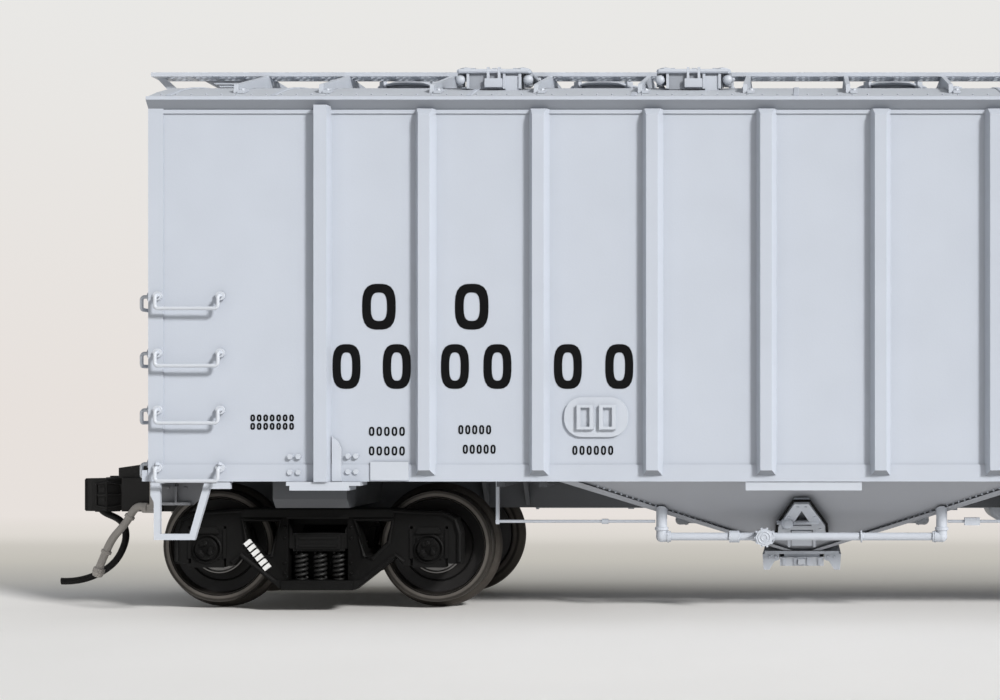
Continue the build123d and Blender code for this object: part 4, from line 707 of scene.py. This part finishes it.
            # journal bearing cup turning with the axle
            lathe(bm, (cx, side * 13.3, 5.885), (0, side, 0), [(0.0, 0.6), (0.02, 1.02), (0.3, 1.02), (0.36, 0.95)], 24)
            for j in range(3):
                a = math.radians(90 + 120 * j)
                lathe(bm, (cx + 0.55 * math.cos(a), side * 13.72, 5.885 + 0.55 * math.sin(a)), (0, side, 0), [(0, 0.26), (0.26, 0.24), (0.32, 0.14)], 6)
        new_piece(f"wheel_rings_{t}_{place}", bm, m_truck, f"wheelset_{t}_{place}")
        bm = bmesh.new()
        for side in (-1, 1):
            ring = [(cx + 2.45 * math.cos(a), side * 9.62, 5.885 + 2.45 * math.sin(a)) for a in [2 * math.pi * j / 40 for j in range(40)]]
            tube(bm, ring, 0.13, 8, closed=True)
            lathe(bm, (cx, side * 9.35, 5.885), (0, side, 0), [(0, 2.5), (0.2, 2.5), (0.27, 2.3), (0.28, 1.4)], 40)
        new_piece(f"hub_rings_{t}_{place}", bm, m_hub, f"wheelset_{t}_{place}")
    # coupler head details and knuckle spring
    bm = bmesh.new()
    F = lambda x, y, z: (s * x, s * y, z)
    lathe(bm, F(90.55, 0.3, 11.95), (0, 0, 1), [(0, 0.45), (0.08, 0.42), (0.16, 0.2)], 12)
    prism(bm, [F(90.2, 0.5, 8.75), F(91.9, 1.5, 8.75), F(92.4, 1.3, 8.75), F(90.6, 0.2, 8.75)], (0, 0, -1), 0.12)
    # raised outline, middle rib and two pockets on the guard arm
    A, B, C = (89.95, 0.97), (91.0, 2.0), (91.95, 2.12)
    tube(bm, [F(A[0], A[1], 11.3), F(B[0], B[1], 11.55), F(C[0], C[1], 11.4), F(C[0], C[1], 9.3), F(B[0], B[1], 9.1), F(A[0], A[1], 9.35)], 0.14, 6, closed=True)
    tube(bm, [F(A[0], A[1], 10.35), F(B[0], B[1], 10.35), F(C[0], C[1], 10.35)], 0.12, 6)
    tube(bm, [F(B[0], B[1], 9.1), F(B[0], B[1], 11.55)], 0.09, 6)
    tube(bm, [F(93.05, 1.95, 8.85), F(93.05, 1.95, 11.85)], 0.1, 6)
    for z in (9.85, 10.85):
        prism(bm, [F(91.15, 2.05, z - 0.22), F(91.7, 2.11, z - 0.22), F(91.7, 2.11, z + 0.22), F(91.15, 2.05, z + 0.22)], (0, s, 0), 0.05)
    prism(bm, [F(86.8, -0.8, 9.2 + 0.35), F(89.6, -0.8, 9.55), F(89.6, 0.8, 9.55), F(86.8, 0.8, 9.55)], (0, 0, -1), 0.12)
    new_piece("coupler_castings_" + t, bm, m_coup, "coupler_body_" + t)

# ---------------------------------------------------------------------- stage
def stage_mesh(name, verts, faces, material):
    me = bpy.data.meshes.new(name)
    me.from_pydata(verts, [], faces)
    o = bpy.data.objects.new(name, me)
    bpy.context.scene.collection.objects.link(o)
    me.materials.append(material)
    return o


def floor_material():
    """Pale paper that turns smoothly into the pale backdrop some way behind the object; from just behind the object it
    glows more and more, a painted light that lifts the object's cast shadow there.
    """
    m = mat("floor_paper", (0.93, 0.915, 0.895), rough=0.8, var=0.02, bump=0.05, scale=60, grain=2500, spec=0.12)
    nt = m.node_tree; N, L = nt.nodes.new, nt.links.new
    b = [n for n in nt.nodes if n.type == "BSDF_PRINCIPLED"][0]
    out = [n for n in nt.nodes if n.type == "OUTPUT_MATERIAL"][0]
    g = N("ShaderNodeNewGeometry"); sp = N("ShaderNodeSeparateXYZ"); L(g.outputs["Position"], sp.inputs[0])
    # painted light: how much the floor glows, rising with distance behind the object to lift its shadow, beige at first
    # and then the backdrop colour
    mr = N("ShaderNodeValToRGB")
    e = mr.color_ramp.elements
    e[0].position = 0.03; e[0].color = (0.02, 0.02, 0.02, 1)
    e[1].position = 0.86; e[1].color = (1, 1, 1, 1)
    x = e.new(0.13); x.color = (0.34, 0.34, 0.34, 1)
    x = e.new(0.30); x.color = (0.68, 0.68, 0.68, 1)
    x = e.new(0.55); x.color = (0.80, 0.80, 0.80, 1)
    sc = N("ShaderNodeMapRange"); sc.inputs["From Min"].default_value = 0.0; sc.inputs["From Max"].default_value = 0.155
    L(sp.outputs[1], sc.inputs["Value"]); L(sc.outputs[0], mr.inputs[0])
    cr = N("ShaderNodeValToRGB")
    cr.color_ramp.elements[0].position = 0.3; cr.color_ramp.elements[0].color = (0.66, 0.63, 0.56, 1)
    cr.color_ramp.elements[1].position = 0.92; cr.color_ramp.elements[1].color = (0.800, 0.752, 0.718, 1)
    L(sc.outputs[0], cr.inputs[0])
    em = N("ShaderNodeEmission"); L(cr.outputs[0], em.inputs[0]); em.inputs[1].default_value = 1.0
    mx = N("ShaderNodeMixShader"); L(mr.outputs[0], mx.inputs[0]); L(b.outputs[0], mx.inputs[1]); L(em.outputs[0], mx.inputs[2])
    # seen from below, the sheet lets the underside of the car through
    tr = N("ShaderNodeBsdfTransparent"); m2 = N("ShaderNodeMixShader")
    L(g.outputs["Backfacing"], m2.inputs[0]); L(mx.outputs[0], m2.inputs[1]); L(tr.outputs[0], m2.inputs[2])
    L(m2.outputs[0], out.inputs[0])
    return m


m_floor = floor_material()
floor = stage_mesh("floor", [(-3, -3, 0), (3, -3, 0), (3, 3, 0), (-3, 3, 0)], [(0, 1, 2, 3)], m_floor)

# camera at the eye level of a person looking along the side of the car
cam_data = bpy.data.cameras.new("camera")
cam = bpy.data.objects.new("camera", cam_data)
bpy.context.scene.collection.objects.link(cam)
cam.location = (-0.0225, -0.1878, 0.01884)
cam.rotation_euler = (math.pi / 2, 0, 0)
cam_data.sensor_width = 36
cam_data.lens = 1897 / 1000 * 36
cam_data.shift_x = -0.306
cam_data.shift_y = 0.058
cam_data.clip_start = 0.001
cam_data.clip_end = 20
bpy.context.scene.camera = cam


home = bpy.data.objects.new("camera_home", None)
bpy.context.scene.collection.objects.link(home)
home.location = cam.location


def shift_driver(prop, value):
    """The lens shift belongs to the main camera place only: it eases to zero away from it."""
    f = cam_data.driver_add(prop)
    d = f.driver
    d.type = "AVERAGE"
    v = d.variables.new(); v.name = "gap"; v.type = "LOC_DIFF"
    v.targets[0].id = cam; v.targets[1].id = home
    for m in list(f.modifiers): f.modifiers.remove(m)
    while f.keyframe_points: f.keyframe_points.remove(f.keyframe_points[0])
    for x, y in ((0.0, value), (0.04, 0.0)):
        k = f.keyframe_points.insert(x, y); k.interpolation = "LINEAR"


shift_driver("shift_x", -0.306)
shift_driver("shift_y", 0.058)

# light: a key from the upper right front, a broad soft fill, a pale surround
def sun(name, direction, strength, angle, col):
    d = bpy.data.lights.new(name, "SUN"); d.energy = strength; d.angle = math.radians(angle); d.color = col
    o = bpy.data.objects.new(name, d); bpy.context.scene.collection.objects.link(o)
    o.rotation_euler = Vector(direction).to_track_quat("-Z", "Y").to_euler()
    return o


sun("key", (-0.95, 1.0, -0.73), 3.15, 9.0, (1.0, 0.99, 0.975))
w = bpy.data.worlds.new("studio"); bpy.context.scene.world = w; w.use_nodes = True
wt = w.node_tree
N, L = wt.nodes.new, wt.links.new
bg = wt.nodes["Background"]
# a soft dome, brighter overhead than at the horizon
tcw = N("ShaderNodeTexCoord"); sw = N("ShaderNodeSeparateXYZ"); L(tcw.outputs["Generated"], sw.inputs[0])
rw = N("ShaderNodeMapRange"); rw.inputs["From Min"].default_value = 0.0; rw.inputs["From Max"].default_value = 1.0
rw.inputs["To Min"].default_value = 0.12; rw.inputs["To Max"].default_value = 0.45
L(sw.outputs[2], rw.inputs["Value"]); L(rw.outputs[0], bg.inputs[1])
bg.inputs[0].default_value = (0.95, 0.975, 1.0, 1)
# the camera sees a warm off-white backdrop
lp = N("ShaderNodeLightPath")
bg2 = N("ShaderNodeBackground")
rc = N("ShaderNodeValToRGB")
rc.color_ramp.elements[0].position = 0.0; rc.color_ramp.elements[0].color = (0.800, 0.752, 0.718, 1)
rc.color_ramp.elements[1].position = 0.22; rc.color_ramp.elements[1].color = (0.815, 0.812, 0.795, 1)
L(sw.outputs[2], rc.inputs[0]); L(rc.outputs[0], bg2.inputs[0]); bg2.inputs[1].default_value = 1.0
mx = N("ShaderNodeMixShader")
L(lp.outputs["Is Camera Ray"], mx.inputs[0])
L(bg.outputs[0], mx.inputs[1]); L(bg2.outputs[0], mx.inputs[2])
L(mx.outputs[0], wt.nodes["World Output"].inputs[0])
bpy.context.scene.view_settings.view_transform = "Standard"
bpy.context.scene.view_settings.look = "None"
